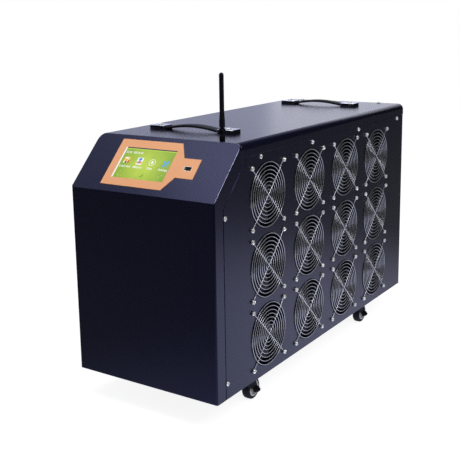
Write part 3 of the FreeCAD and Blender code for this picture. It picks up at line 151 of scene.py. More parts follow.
finishes = {
    # baked polyester powder coat on steel sheet: near-black blue, sprayed, with a fine orange
    # peel, and a gloss that wakes only where it is skimmed
    "powderCoat": dict(colour="#0a0b17", second="#0d0e1d", patchMm=160, grainMm=2.2,
                       roughness=0.27, uneven=0.02, relief=0.03,
                       shader={"IOR": 1.38, "Specular Tint": linear("#aab0ff")}),
    # the same coat drawn thin over a fold or a cut edge: paler, and it takes a sharper light
    # the coat on folds and cut edges, where it is thin, made paler and far glossier than the
    # coat: it paints a highlight line along the edges
    "edgeHighlightCoat": dict(colour="#13141f", second="#1a1b27", patchMm=40, grainMm=1.5,
                     roughness=0.17, uneven=0.02, relief=0.02,
                     shader={"IOR": 2.6, "Specular Tint": linear("#d4d8ff")}),
    # printed polyester film: a flat ink under a satin face
    "printedFilm": dict(colour="#df9f73", second="#e4a67a", patchMm=40, grainMm=0.9,
                        roughness=0.5, uneven=0.05, relief=0.04, shader={"IOR": 1.25}),
    # bright nickel plate on drawn steel wire: clear highlights along the wire
    "nickelPlate": dict(colour="#b6b8be", second="#a2a4ab", patchMm=30, grainMm=0.8,
                        metallic=0.78, roughness=0.26, uneven=0.05, relief=0.05),
    # chrome plate on polished zinc casting: a cold mirror
    "chromePlate": dict(colour="#c4c6ca", second="#b8bbc0", patchMm=25, grainMm=1.5,
                        metallic=1.0, roughness=0.06, uneven=0.02, relief=0.02),
    # bright zinc plate on screw heads: pale and satin
    "brightZinc": dict(colour="#e8e8e4", second="#d8d9d8", patchMm=3, grainMm=0.6,
                       metallic=0.72, roughness=0.28, uneven=0.05, relief=0.05),
    # painted shadow in a screw's recess: nearly black
    "recessShadow": dict(colour="#0d0d0f", second="#17171a", patchMm=1, grainMm=0.4,
                        roughness=0.8, uneven=0.05, relief=0.1, shader={"IOR": 1.2}),
    # tin plate on drawn sheet: whitish and satin
    "tinPlate": dict(colour="#f0f0ee", second="#e4e4e2", patchMm=5, grainMm=0.5,
                     metallic=0.5, roughness=0.42, uneven=0.05, relief=0.04),
    # zinc plate on steel: duller than nickel, slightly blue and cloudy
    "zincPlate": dict(colour="#aeb2b6", second="#969a9f", patchMm=6, grainMm=0.7,
                      metallic=1.0, roughness=0.34, uneven=0.07, relief=0.08),
    # rolled stainless steel: long faint rolling marks
    "rolledSteel": dict(colour="#9fa1a3", second="#8b8d90", patchMm=20, grainMm=0.6,
                        metallic=1.0, roughness=0.38, uneven=0.08, relief=0.06,
                        stretch=(1, 0.1, 1)),
    # turned brass: yellow metal, a little tarnished
    "turnedBrass": dict(colour="#c9a865", second="#b18f4e", patchMm=5, grainMm=0.5,
                        metallic=1.0, roughness=0.28, uneven=0.07, relief=0.05),
    # turned brass, blackened: dark, but it still shines like metal
    "blackenedBrass": dict(colour="#1c1a18", second="#2b2723", patchMm=3, grainMm=0.5,
                           metallic=1.0, roughness=0.32, uneven=0.08, relief=0.05),
    # bare copper bar: dull orange with darker handling marks
    "copperBar": dict(colour="#c07a55", second="#9c5d3d", patchMm=18, grainMm=0.8,
                      metallic=1.0, roughness=0.4, uneven=0.08, relief=0.05),
    # moulded rubber: soft black with a bloom
    "mouldedRubber": dict(colour="#0b0b10", second="#13131a", patchMm=12, grainMm=0.7,
                          roughness=0.6, uneven=0.08, relief=0.15, shader={"IOR": 1.3}),
    # tyre rubber: grey-black and matt from the floor
    "wheelRubber": dict(colour="#0c0c10", second="#17171b", patchMm=9, grainMm=0.8,
                        roughness=0.7, uneven=0.1, relief=0.25, shader={"IOR": 1.3}),
    # glass-filled nylon, spark-textured: matt black
    "sparkNylon": dict(colour="#07080e", second="#0b0c15", patchMm=20, grainMm=0.7,
                       roughness=0.42, uneven=0.06, relief=0.12, shader={"IOR": 1.28}),
    # the fans' blades: the same nylon from a polished mould, greyer where light falls on it
    "bladeNylon": dict(colour="#0a0e10", second="#101517", patchMm=25, grainMm=1.0,
                       roughness=0.34, uneven=0.05, relief=0.05, shader={"IOR": 1.4}),
    # polished ABS: hard black with a clear shine
    "glossAbs": dict(colour="#0a0a0c", second="#101013", patchMm=20, grainMm=1.2,
                     roughness=0.2, uneven=0.04, relief=0.03, shader={"IOR": 1.53}),
    # red phenolic moulding, the positive side
    "redMoulding": dict(colour="#8e1712", second="#7c120f", patchMm=15, grainMm=1.0,
                        roughness=0.3, uneven=0.05, relief=0.05, shader={"IOR": 1.53}),
    # grey polypropylene wheel core: waxy and matt
    "greyPolymer": dict(colour="#cfd0d4", second="#bfc1c5", patchMm=10, grainMm=0.7,
                        roughness=0.45, uneven=0.07, relief=0.1, shader={"IOR": 1.49}),
    # stoved enamel on pressed steel: black and dull
    "blackEnamel": dict(colour="#06060a", second="#09090e", patchMm=14, grainMm=1.1,
                        roughness=0.65, uneven=0.05, relief=0.05, shader={"IOR": 1.22}),
    # solder mask over glass laminate
    "solderMask": dict(colour="#0f4a2a", second="#0c3d23", patchMm=30, grainMm=0.8,
                       roughness=0.35, uneven=0.05, relief=0.05, shader={"IOR": 1.55}),
    # chemically toughened glass over a dark display
    "displayGlass": dict(colour="#08090b", second="#0b0c0f", patchMm=60, grainMm=3.0,
                         roughness=0.08, uneven=0.01, relief=0.0, shader={"IOR": 1.5}),
}
materials = {name: surfaceMaterial(name, look) for name, look in finishes.items()}
print("materials made:", len(materials))


# making meshes

def circlePoints(radius, count, centre=(0, 0), start=0.0, sweep=2 * math.pi):
    # points around a circle, or along an arc with both its ends
    steps = count if sweep == 2 * math.pi else count - 1
    return [(centre[0] + radius * math.cos(start + sweep * i / steps),
             centre[1] + radius * math.sin(start + sweep * i / steps)) for i in range(count)]


def rectangle(left, right, low, high):
    return [(left, low), (right, low), (right, high), (left, high)]


def addRing(mesh, outline, height, place):
    return [mesh.verts.new(place @ Vector((x, y, height))) for x, y in outline]


def skin(mesh, rings):
    # joins each ring to the next, point by point
    for lower, upper in zip(rings, rings[1:]):
        for k in range(len(lower)):
            j = (k + 1) % len(lower)
            mesh.faces.new((lower[k], lower[j], upper[j], upper[k]))


def loft(mesh, rings):
    # a closed form through the rings
    skin(mesh, rings)
    mesh.faces.new(list(reversed(rings[0])))
    mesh.faces.new(rings[-1])


def lathe(mesh, profile, place, steps=48):
    # turns (radius, height) points about Z; a radius of 0 gives a single point
    rings = [addRing(mesh, circlePoints(radius, steps if radius else 1), height, place)
             for radius, height in profile]
    for lower, upper in zip(rings, rings[1:]):
        for i in range(steps):
            j = (i + 1) % steps
            corners = [lower[i % len(lower)], lower[j % len(lower)],
                       upper[j % len(upper)], upper[i % len(upper)]]
            mesh.faces.new(list(dict.fromkeys(corners)))
    return rings


def tube(mesh, path, radius, place, sides=8, closed=False):
    # a round wire along a path of points that sets out level
    points = [Vector(point) for point in path]
    count = len(points)
    rings = []
    side = None
    for i, point in enumerate(points):
        before = points[i - 1] if i or closed else point
        after = points[(i + 1) % count] if i < count - 1 or closed else point
        along = (after - before).normalized()
        if side is None:
            side = along.cross(Vector((0, 0, 1))).normalized()
        side = (side - along * side.dot(along)).normalized()
        up = along.cross(side)
        rings.append([mesh.verts.new(place @ (point + radius * (x * side + y * up)))
                      for x, y in circlePoints(1, sides)])
    if closed:
        skin(mesh, rings + rings[:1])
    else:
        loft(mesh, rings)


def slab(mesh, outline, low, high, place):
    # a flat plate with the given outline between two heights
    loft(mesh, [addRing(mesh, outline, height, place) for height in (low, high)])


def box(mesh, x, y, z, place):
    slab(mesh, rectangle(*x, *y), *z, place)


def meshData(name, mesh):
    data = bpy.data.meshes.new(name)
    mesh.to_mesh(data)
    mesh.free()
    return data


def addObject(name, data):
    thing = bpy.data.objects.new(name, data)
    bpy.context.scene.collection.objects.link(thing)
    return thing


def makePiece(name, mesh, finish, **options):
    bmesh.ops.recalc_face_normals(mesh, faces=list(mesh.faces))
    fitPiece(name, meshData(name, mesh), finish, **options)


def fitPiece(name, data, finish, body="case", replaced=(), slot=None, sharp=35, second=None):
    piece = addObject(name, data)
    data.materials.clear()
    data.materials.append(finish if isinstance(finish, bpy.types.Material) else materials[finish])
    if second:
        data.materials.append(materials[second])
    data.shade_smooth()
    data.set_sharp_from_angle(angle=math.radians(sharp))
    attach(piece, body)
    if replaced:
        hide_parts(*replaced)


def meshOfCurve(name, curve):
    holder = addObject(name, curve)
    graph = bpy.context.evaluated_depsgraph_get()
    data = bpy.data.meshes.new_from_object(holder.evaluated_get(graph))
    bpy.data.objects.remove(holder)
    return data


def cutSheet(name, outlines, thickness, edge, place):
    # a sheet cut from the first outline with the others as holes, its edges slightly broken
    curve = bpy.data.curves.new(name, "CURVE")
    curve.dimensions = "2D"
    curve.fill_mode = "BOTH"
    curve.extrude = (thickness / 2 - edge) / 1000
    curve.bevel_depth = edge / 1000
    curve.bevel_resolution = 0
    curve.offset = -edge / 1000
    for outline in outlines:
        spline = curve.splines.new("POLY")
        spline.points.add(len(outline) - 1)
        for point, (x, y) in zip(spline.points, outline):
            point.co = (x / 1000, y / 1000, 0, 1)
        spline.use_cyclic_u = True
    data = meshOfCurve(name, curve)
    data.transform(place @ Matrix.Scale(1000, 4))
    return data


edgeWork = {"weldMm": 0.02, "segments": 2, "leastAngle": 40}


def dress(node, finish, edge=0.0, edgeFinish=None):
    # a CAD node that stays, with its finish and, where it shows, its edges broken
    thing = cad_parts[node]
    thing.data.materials.clear()
    thing.data.materials.append(materials[finish])
    if edgeFinish:
        thing.data.materials.append(materials[edgeFinish])
    if edge:
        weld = thing.modifiers.new("weld", "WELD")
        weld.merge_threshold = edgeWork["weldMm"] / 1000
        rounding = thing.modifiers.new("brokenEdges", "BEVEL")
        rounding.width = edge / 1000
        rounding.segments = edgeWork["segments"]
        rounding.limit_method = "ANGLE"
        rounding.angle_limit = math.radians(edgeWork["leastAngle"])
        rounding.harden_normals = True
        rounding.use_clamp_overlap = False
        # the bevel's faces take the second finish, the paler and glossier edge coat that paints a
        # highlight line
        if edgeFinish:
            rounding.material = 1


# case panels

fanGrid = {
    "columns": [163, 313, 463, 613],
    "rows": [72.5, 197.5, 322.5],
    "openingRadius": 57.5,
    "screwPitch": 105,
}
fanSpots = [(f"column{c + 1}_row{r + 1}", y, z) for c, y in enumerate(fanGrid["columns"])
            for r, z in enumerate(fanGrid["rows"])]

panelSizes = {
    "front": 26.3,
    "top": 395.6,
    "knee": 323.17,
    "shoulder": 98.73,
    "edge": 0.5,
    "openingSteps": 72,
    # how far the panel's broken edges lean outwards, and to the front, to take the paler,
    # glossier edge coat: a painted highlight line on the edges that face the front
    "leaning": (0.2, 0.95),
    "toFront": -0.15,
    # how wide the other panels' edges are broken
    "folds": {"front_fascia": 0.6, "top_cover": 0.3, "rear_panel": 0.3, "base_pan": 0.0,
              "vent_panel": 0.3},
}


def makeFanPanel():
    p = panelSizes
    # the panel's own plane: first axis is down (-z), second is along the case (y)
    rear = caseSizes["rearFace"]
    outline = [(0, p["front"]), (0, rear), (-p["top"], rear), (-p["top"], p["shoulder"]),
               (-p["knee"], p["front"])]
    holes = [circlePoints(fanGrid["openingRadius"], p["openingSteps"], (-z, y))
             for _, y, z in fanSpots]
    middle = caseSizes["halfWidth"] - caseSizes["sheet"] / 2
    data = cutSheet("fanPanelSheet", [outline] + holes, caseSizes["sheet"], p["edge"],
                    placed(x=middle, turn=facingRight))
    least, most = p["leaning"]
    # edges facing the front get the edge coat, a painted highlight
    for face in data.polygons:
        if least < abs(face.normal.x) < most and face.normal.y < p["toFront"]:
            face.material_index = 1
    fitPiece("fanPanelSheet", data, "powderCoat", replaced=["fan_panel"], slot="case_paint",
             second="edgeHighlightCoat")


makeFanPanel()
for node, edge in panelSizes["folds"].items():
    dress(node, "powderCoat", edge, "edgeHighlightCoat")
print("case panels done")


# fan guards and fans

guardSizes = {
    "outerRing": 56,
    "rings": 8,
    "pitch": 6.7,
    "stepsPerMm": 1.3,
    "fewestSteps": 24,
    "wire": 0.72,
    "spokeWire": 0.85,
    "ringHeight": 1.3,
    "spokeHeight": 1.75,
    "bendOut": 2.5,
    "bendRun": 3,
    "eyeRadius": 3.3,
    "eyeSteps": 20,
    "eyeDistance": fanGrid["screwPitch"] / math.sqrt(2),
}


def guardWires(mesh, place):
    g = guardSizes
    for number in range(g["rings"]):
        radius = g["outerRing"] - number * g["pitch"]
        steps = max(g["fewestSteps"], int(radius * g["stepsPerMm"]))
        path = [(x, y, g["ringHeight"]) for x, y in circlePoints(radius, steps)]
        tube(mesh, path, g["wire"], place, closed=True)
    low, high, run = g["spokeWire"], g["spokeHeight"], g["bendRun"]
    bend = g["outerRing"] + g["bendOut"]
    half = [(g["eyeDistance"] - g["eyeRadius"], low), (bend + run, low + 0.1),
            (bend, high - 0.2), (bend - run, high)]
    spoke = [(-x, 0, z) for x, z in half] + [(x, 0, z) for x, z in reversed(half)]
    for turn in (math.pi / 4, -math.pi / 4):
        spin = place @ Matrix.Rotation(turn, 4, "Z")
        tube(mesh, spoke, g["spokeWire"], spin)
        for sign in (-1, 1):
            eye = circlePoints(g["eyeRadius"], g["eyeSteps"], (sign * g["eyeDistance"], 0))
            tube(mesh, [(x, y, low) for x, y in eye], g["spokeWire"], spin, closed=True)


def makeGuards():
    mesh = bmesh.new()
    for _, y, z in fanSpots:
        guardWires(mesh, placed(caseSizes["halfWidth"], y, z, facingRight))
    makePiece("wireGuards", mesh, "nickelPlate", replaced=["fan_guards"], slot="nickel", sharp=60)


rotorSizes = {
    "hub": 21,
    "cap": 6,
    "front": -5,
    "back": -28,
    "blades": 7,
    "stations": 9,
    "around": 20,
    "rootReach": 19,
    "rootChord": 24,
    "rootAngle": 50,
    "tipReach": 53.2,
    "tipChord": 38,
    "tipAngle": 28,
    "thickness": 1.7,
    "camber": 2.0,
    "shaft": 2,
    "shaftEnd": -37,
}


def bladeSurface(mesh, place):
    # a twisted blade with a rounded section, wider and flatter towards its tip
    s = rotorSizes
    middle = (s["front"] + s["back"]) / 2
    sections = []
    for step in range(s["stations"]):
        share = step / (s["stations"] - 1)
        radius, chord, degrees = (s["root" + size] * (1 - share) + s["tip" + size] * share
                                  for size in ("Reach", "Chord", "Angle"))
        angle = math.radians(degrees)
        ring = []
        for x, y in circlePoints(1, s["around"]):
            along = x * chord / 2
            through = (y * s["thickness"] / 2 + s["camber"] * (1 - (2 * along / chord) ** 2)
                       - s["camber"] / 2)
            tangential = along * math.cos(angle) - through * math.sin(angle)
            axial = along * math.sin(angle) + through * math.cos(angle)
            bow = radius - tangential ** 2 / (2 * radius) * share
            ring.append(mesh.verts.new(place @ Vector((bow, tangential, middle + axial))))
        sections.append(ring)
    loft(mesh, sections)


def makeRotors():
    s = rotorSizes
    wide, front, back = s["hub"], s["front"], s["back"]
    hub = [(0, front - 1), (s["cap"], front - 1), (s["cap"] + 1, front), (wide - 3, front),
           (wide - 1, front - 0.6), (wide, front - 2.5), (wide, back + 0.5), (wide - 0.5, back),
           (s["shaft"], back), (s["shaft"], s["shaftEnd"]), (0, s["shaftEnd"])]
    for name, y, z in fanSpots:
        mesh = bmesh.new()
        place = placed(behindPanel, y, z, facingRight)
        lathe(mesh, hub, place)
        for blade in range(s["blades"]):
            turn = Matrix.Rotation(2 * math.pi * blade / s["blades"], 4, "Z")
            bladeSurface(mesh, place @ turn)
        makePiece("fanBlades_" + name, mesh, "bladeNylon", body="rotor_" + name,
                  replaced=["fan_rotor_" + name], slot="black_plastic", sharp=40)


housingSizes = {
    "side": 60,
    "corner": 4,
    "cornerSteps": 5,
    "depth": 38,
    "duct": 57.5,
    "ductSteps": 80,
    "flare": 1.4,
    "stator": 20,
    "statorSteps": 40,
    "statorHeight": 7,
    "bore": 2.05,
    "strutWidth": 5,
    "strutDepth": 4,
}


def roundedSquare(half, corner, steps):
    points = []
    for quarter in range(4):
        angle = quarter * math.pi / 2
        centre = Matrix.Rotation(angle, 2) @ Vector((half - corner, half - corner))
        points += circlePoints(corner, steps, tuple(centre), angle, math.pi / 2)
    return points


def makeHousings():
    # the fans' square frames: one ducted housing each, four struts and the stator
    s = housingSizes
    mesh = bmesh.new()
    square = roundedSquare(s["side"], s["corner"], s["cornerSteps"])
    inner, duct, flare = -s["depth"], s["duct"], s["flare"]
    bore = ((duct + flare, 0), (duct, -flare), (duct, inner + flare), (duct + flare, inner))
    wide, top = s["stator"], inner + s["statorHeight"]
    stator = [(s["bore"], inner), (wide - 0.5, inner), (wide, inner + 0.5), (wide, top),
              (s["bore"], top), (s["bore"], inner)]
    for _, y, z in fanSpots:
        place = placed(behindPanel, y, z, facingRight)
        outside = [addRing(mesh, square, level, place) for level in (0, inner)]
        inside = [addRing(mesh, circlePoints(radius, s["ductSteps"]), level, place)
                  for radius, level in bore]
        skin(mesh, outside)
        skin(mesh, inside)
        for rings in ((outside[0], inside[0]), (outside[1], inside[-1])):
            edges = [mesh.edges.get(pair) for ring in rings
                     for pair in zip(ring, ring[1:] + ring[:1])]
            bmesh.ops.triangle_fill(mesh, edges=edges, use_beauty=True)
        lathe(mesh, stator, place, s["statorSteps"])
        for quarter in range(4):
            spin = place @ Matrix.Rotation(quarter * math.pi / 2, 4, "Z")
            box(mesh, (wide - 1, duct + 0.5), (-s["strutWidth"] / 2, s["strutWidth"] / 2),
                (inner, inner + s["strutDepth"]), spin)
    makePiece("fanHousings", mesh, "sparkNylon", replaced=["fan_frames"], slot="black_plastic",
              sharp=40)


makeGuards()
makeRotors()
makeHousings()
print("guards and fans done")


# screws

casterSpots = {"side": 122, "rows": {"front": 128, "rear": 585}}

screwSizes = {
    "radius": 4.0,
    "steps": 32,
    "profile": [(0, 0.0), (4.1, 0.0), (4.1, 0.8), (3.85, 1.5), (3.2, 2.05), (2.6, 2.25),
                (1.9, 2.36), (1.2, 2.4), (0.6, 2.4), (0, 2.4)],
    "recessFrom": 5,
    "crossReach": 2.8,
    "crossWidth": 0.75,
    "crossDepth": 1.9,
    "turnStep": 0.7,
    "onGuard": 2,
    # places as (y, z), (x, z) and (x, y) on their faces, and about each caster
    "sideSpots": [(141, 391), (324, 391), (524, 391), (724, 391), (30, 28), (30, 307)],
    "rearSpots": [(142.7, 181), (-142.7, 181)],
    "topSpots": [(-101, 751), (94, 751)],
    "topTurn": 0.4,
    "plateSpots": [(-16, -20), (-16, 20), (16, -20), (16, 20)],
    "plateFace": -2,
}


def panHead(mesh, place, radius=None):
    # a pan head with a cross recess
    s = screwSizes
    scale = (radius or s["radius"]) / s["radius"]
    rings = lathe(mesh, [(r * scale, h) for r, h in s["profile"]], place, s["steps"])
    down = place.to_3x3() @ Vector((0, 0, -s["crossDepth"]))
    inverse = place.inverted()
    crossReach = s["crossReach"] * scale
    recess = set()
    for ring in rings[s["recessFrom"]:]:
        for vertex in ring:
            local = inverse @ vertex.co
            nearer, reach = sorted((abs(local.x), abs(local.y)))
            if nearer < s["crossWidth"] and reach < crossReach:
                vertex.co += down * (1 - 0.5 * reach / crossReach)
                recess.add(vertex)
    # faces in the recess take the near-black finish, a painted shadow
    for face in {face for vertex in recess for face in vertex.link_faces}:
        if sum(vertex in recess for vertex in face.verts) >= 2:
            face.material_index = 1


def makeScrewPiece(name, mesh, finish, node):
    makePiece(name, mesh, finish, replaced=[node], slot="zinc_steel", sharp=50,
              second="recessShadow")


def makeScrews():
    s = screwSizes
    half, pitch = caseSizes["halfWidth"], fanGrid["screwPitch"] / 2
    turnBy = 0.0
    mesh = bmesh.new()
    for _, y, z in fanSpots:
        for across in (-1, 1):
            for up in (-1, 1):
                turnBy += s["turnStep"]
                panHead(mesh, placed(half + s["onGuard"], y + across * pitch, z + up * pitch,
                                     facingRight @ Matrix.Rotation(turnBy, 4, "Z")))
    makeScrewPiece("guardScrewHeads", mesh, "brightZinc", "guard_screws")
    mesh = bmesh.new()
    for side, turn in ((1, facingRight), (-1, facingLeft)):
        for y, z in s["sideSpots"]:
            turnBy += s["turnStep"]
            panHead(mesh, placed(side * half, y, z, turn @ Matrix.Rotation(turnBy, 4, "Z")))
    for x, z in s["rearSpots"]:
        panHead(mesh, placed(x, caseSizes["rearFace"], z, facingRear))
    for x, y in s["topSpots"]:
        panHead(mesh, placed(x, y, caseSizes["top"], Matrix.Rotation(s["topTurn"], 4, "Z")))
    makeScrewPiece("panelScrewHeads", mesh, "brightZinc", "panel_screws")
    mesh = bmesh.new()
    for x in (casterSpots["side"], -casterSpots["side"]):
        for y in casterSpots["rows"].values():
            for across, along in s["plateSpots"]:
                panHead(mesh, placed(x + across, y + along, s["plateFace"], facingDown))
    makeScrewPiece("casterScrewHeads", mesh, "zincPlate", "caster_screws")


makeScrews()
print("screws done")


# handles

handleSizes = {
    "x": -10,
    "rows": (175, 661),
    "halfLength": 91.5,
    "capLength": 34,
    "capDepth": 25,
    "capFoot": 0.02,
    "capHeight": 8,
    "capEdge": 1.3,
    "strapWidth": 20,
    "strapThickness": 4.5,
    "strapSeat": 1,
    "strapRise": 6.2,
    "strapBow": 1.15,
    "strapTail": 20,
    "strapStations": 41,
    "screwRadius": 4.5,
    "screwTurn": 0.5,
}


def addCap(caps, ends, place):
    # a block whose edges are rounded, but for those on the case
    s = handleSizes
    cap = bmesh.new()
    box(cap, ends, (-s["capDepth"] / 2, s["capDepth"] / 2), (s["capFoot"], s["capHeight"]), place)
    lowest = min(vertex.co.z for vertex in cap.verts)
    edges = [edge for edge in cap.edges
             if max(vertex.co.z for vertex in edge.verts) > lowest + 0.001]
    bmesh.ops.bevel(cap, geom=edges, offset=s["capEdge"] / 1000, segments=4, profile=0.5,
                    affect="EDGES")
    data = meshData("cap", cap)
    caps.from_mesh(data)
    bpy.data.meshes.remove(data)


def addStrap(straps, mouth, place):
    # the strap's section, with rolled edges and two shallow grooves, swept along its bow
    s = handleSizes
    w, t = s["strapWidth"] / 2, s["strapThickness"]
    right = [(w - 1.4, 0), (w - 0.5, 0.2), (w, 1.3), (w, t - 1.3), (w - 0.5, t - 0.3),
             (w - 1.4, t), (w - 3.2, t), (w - 3.7, t - 0.5), (w - 4.2, t)]
    section = right + [(-across, up) for across, up in reversed(right)]
    reach = mouth + s["strapTail"]
    rings = []
    for step in range(s["strapStations"]):
        x = -reach + 2 * reach * step / (s["strapStations"] - 1)
        lift = s["strapRise"] * (1 - min(abs(x) / mouth, 1) ** 2) ** s["strapBow"]
        rings.append([straps.verts.new(place @ Vector((x, across, lift + up)))
                      for across, up in section])
    loft(straps, rings)


def makeHandles():
    s = handleSizes
    top = caseSizes["top"]
    caps, straps, screws = bmesh.new(), bmesh.new(), bmesh.new()
    mouth = s["halfLength"] - s["capLength"]
    for y in s["rows"]:
        for side in (-1, 1):
            ends = sorted((side * mouth, side * s["halfLength"]))
            addCap(caps, ends, placed(s["x"], y, top))
            turn = Matrix.Rotation(s["screwTurn"] * side, 4, "Z")
            panHead(screws, placed(s["x"] + side * (mouth + s["capLength"] / 2), y,
                                   top + s["capHeight"], turn), s["screwRadius"])
        addStrap(straps, mouth, placed(s["x"], y, top + s["strapSeat"]))
    makePiece("handleCaps", caps, "chromePlate", replaced=["handle_caps"], slot="bright_chrome")
    makePiece("handleStraps", straps, "mouldedRubber", replaced=["handle_straps"],
              slot="black_rubber", sharp=50)
    makeScrewPiece("handleScrewHeads", screws, "brightZinc", "handle_screws")


makeHandles()
print("handles done")


# antenna

antennaSizes = {
    "x": 103.6,
    "y": 96,
    "height": 112,
    "pivot": 17,
    "nut": 5.5,
    "nutHeight": 3,
    "crest": 3.2,
    "root": 2.95,
    "ridges": 20,
    # the sleeve's rings as (height, radius on a ridge, radius between ridges)
    "sleeve": [(3.3, 4.5, 4.5), (3.8, 4.9, 4.55), (9.6, 4.9, 4.55), (10.2, 4.5, 4.5),
               (10.6, 4.2, 4.2), (12, 4.2, 4.2)],
    "ear": 4.0,
    "earFoot": 11,
    "earFaces": (2.1, 4.6),
    "pin": 1.5,
    "foot": 22.3,
    "lowRadius": 4.9,
    "topRadius": 3.9,
    "tongue": 3.4,
    "tongueHalf": 1.7,
}


def makeSocket(place):
    s = antennaSizes
    mesh = bmesh.new()
    base = s["nutHeight"]
    slab(mesh, circlePoints(s["nut"], 6), 0, base, place)
    thread = [(s["crest"] if k % 2 else s["root"], base + k * 0.5) for k in range(10)]
    lathe(mesh, [(0, base - 0.1), (s["crest"], base - 0.1)] + thread + [(2.7, 8), (0, 8)],
          place, 32)
    makePiece("antennaSocket", mesh, "blackenedBrass", replaced=["antenna_socket"],
              slot="brass_metal")


def makeKnuckle(place):
    s = antennaSizes
    mesh = bmesh.new()
    around = list(enumerate(circlePoints(1, s["ridges"] * 4)))
    rings = []
    for height, ridge, between in s["sleeve"]:
        radii = [between if k % 4 > 1 else ridge for k, _ in around]
        rings.append(addRing(mesh, [(radii[k] * x, radii[k] * y) for k, (x, y) in around],
                             height, place))
    loft(mesh, rings)
    # two ears with rounded tops, and the hinge pin's heads
    ear = ([(-s["ear"], s["earFoot"]), (s["ear"], s["earFoot"])]
           + circlePoints(s["ear"], 13, (0, s["pivot"]), 0, math.pi))
    near, far = s["earFaces"]
    across = place @ standing
    for low, high in ((-far, -near), (near, far)):
        slab(mesh, ear, low, high, across)
        pin = [(0, low - 0.2), (s["pin"], low - 0.2), (s["pin"], high + 0.2), (0, high + 0.2)]
        lathe(mesh, pin, across @ Matrix.Translation((0, s["pivot"], 0)), 20)
    makePiece("antennaKnuckle", mesh, "sparkNylon", body="antenna_base",
              replaced=["antenna_knuckle"], slot="black_plastic")


def makeWhip(place):
    s = antennaSizes
    mesh = bmesh.new()
    low, slim, foot = s["lowRadius"], s["topRadius"], s["foot"]
    dome = s["height"] - slim
    profile = [(0, foot), (low - 0.6, foot), (low, foot + 0.6), (low, 33), (low - 0.25, 36),
               (slim + 0.35, 42), (slim, 48), (slim, dome)]
    profile += [(slim * math.cos(a), dome + slim * math.sin(a)) for a in (0.3, 0.6, 0.9, 1.2)]
    lathe(mesh, profile + [(0, s["height"])], place, 40)
    tongue = ([(-s["tongue"], foot + 0.4)]
              + circlePoints(s["tongue"], 13, (0, s["pivot"]), math.pi, math.pi)
              + [(s["tongue"], foot + 0.4)])
    slab(mesh, tongue, -s["tongueHalf"], s["tongueHalf"], place @ standing)
    makePiece("antennaWhip", mesh, "sparkNylon", body="antenna_mast", replaced=["antenna_whip"],
              slot="black_plastic")


onTop = placed(antennaSizes["x"], antennaSizes["y"], caseSizes["top"])
makeSocket(onTop)
makeKnuckle(onTop)
makeWhip(onTop)
print("antenna done")


# casters

casterSizes = {
    "trail": 18,
    "drop": -30,
    "tyre": 20,
    "tyreWidth": 15,
    "core": 14,
    "coreLength": 17,
    "web": 3.6,
    "bore": 3.05,
    "forkEdge": 0.3,
    "plateEdge": 0.2,
}


def makeWheels():
    s = casterSizes
    wide, web, end = s["tyreWidth"] / 2, s["web"], s["coreLength"] / 2
    shoulder = [(s["core"], wide), (16.6, wide), (18.2, wide - 0.5), (19.3, wide - 1.6),
                (19.85, wide - 3.4)]
    tread = [(radius, -height) for radius, height in shoulder] + [(s["tyre"], 0)]
    tread += reversed(shoulder)
    rim = [(s["bore"], -end), (6.0, -end), (6.5, -end + 0.5), (6.8, -web - 0.8), (7.6, -web),
           (10.6, -web), (11.3, -web - 0.8), (11.6, -wide + 0.3), (12, -wide),
           (s["core"] - 0.02, -wide)]
    rim += [(radius, -height) for radius, height in reversed(rim)] + [rim[0]]
    for row, y in casterSpots["rows"].items():
        for side, sign in (("right", 1), ("left", -1)):
            corner = row + "_" + side
            place = placed(sign * casterSpots["side"], y + s["trail"], s["drop"], facingRight)
            mesh = bmesh.new()
            lathe(mesh, tread, place, 72)
            makePiece("tyre_" + corner, mesh, "wheelRubber", body="wheel_" + corner,
                      replaced=["wheel_tyre_" + corner], slot="black_rubber", sharp=50)
            mesh = bmesh.new()
            lathe(mesh, rim, place, 64)
            makePiece("wheelCore_" + corner, mesh, "greyPolymer", body="wheel_" + corner,
                      replaced=["wheel_core_" + corner], slot="grey_nylon", sharp=40)
            dress("caster_fork_" + corner, "blackEnamel", s["forkEdge"])
    dress("caster_plates", "zincPlate", s["plateEdge"])


makeWheels()
print("casters done")


# display

displaySizes = {
    "left": -76,
    "right": 34.5,
    "low": 28.8,
    "high": 93,
    "margin": 0.1,
    "strip": 3.1,
    "shade": 1.9,
    "band": 4.0,
    "columns": (-60.7, -32.6, -5.5, 22.8),
    "foot": 0.02,
    "lift": 0.12,
    "markLift": 0.2,
    "levelStep": 0.04,
    "brightest": (-20, 58, 0),
    "brightReach": 0.062,
    "washMm": 16,
}


def displayPicture():
    # the lit picture behind the glass: a green wash, brightest near its middle
    d = displaySizes
    material, tree = newMaterial("litPicture")
    place = addNode(tree, "TexCoord")
    middle = onSlope @ Vector(d["brightest"])
    away = addNode(tree, "VectorMath", {"operation": "DISTANCE", 1: tuple(middle)},
                   {0: place["Object"]})
    ramp = fade(tree, away["Value"], 0.0, d["brightReach"], 0.0, 1.0)
    wash = addNode(tree, "TexNoise", {"Scale": 1000 / d["washMm"], "Detail": 2.0},
                   {"Vector": place["Object"]})
    spread = addNode(tree, "Math", {"operation": "MULTIPLY_ADD", 1: 0.5, 2: -0.25},
                     {0: wash["Fac"]})
    share = addNode(tree, "Math", {"operation": "ADD", "use_clamp": True},
                    {0: ramp, 1: spread["Value"]})
    colour = mixed(tree, "#bfd654", "#8bac3c", share["Value"])
    shader = addNode(tree, "BsdfPrincipled", litPane, {"Emission Color": colour})
    addNode(tree, "OutputMaterial", None, {"Surface": shader["BSDF"]})
    mesh = bmesh.new()
    margin = d["margin"]
    box(mesh, (d["left"] + margin, d["right"] - margin), (d["low"] + margin, d["high"] - margin),
        (d["foot"], d["lift"]), onSlope)
    makePiece("displayPicture", mesh, material, slot="display_glass")


def bar(start, end, width):
    # a straight bar between two points
    a, b = Vector(start), Vector(end)
    across = (b - a).orthogonal().normalized() * width / 2
    return [tuple(b + across), tuple(b - across), tuple(a - across), tuple(a + across)]


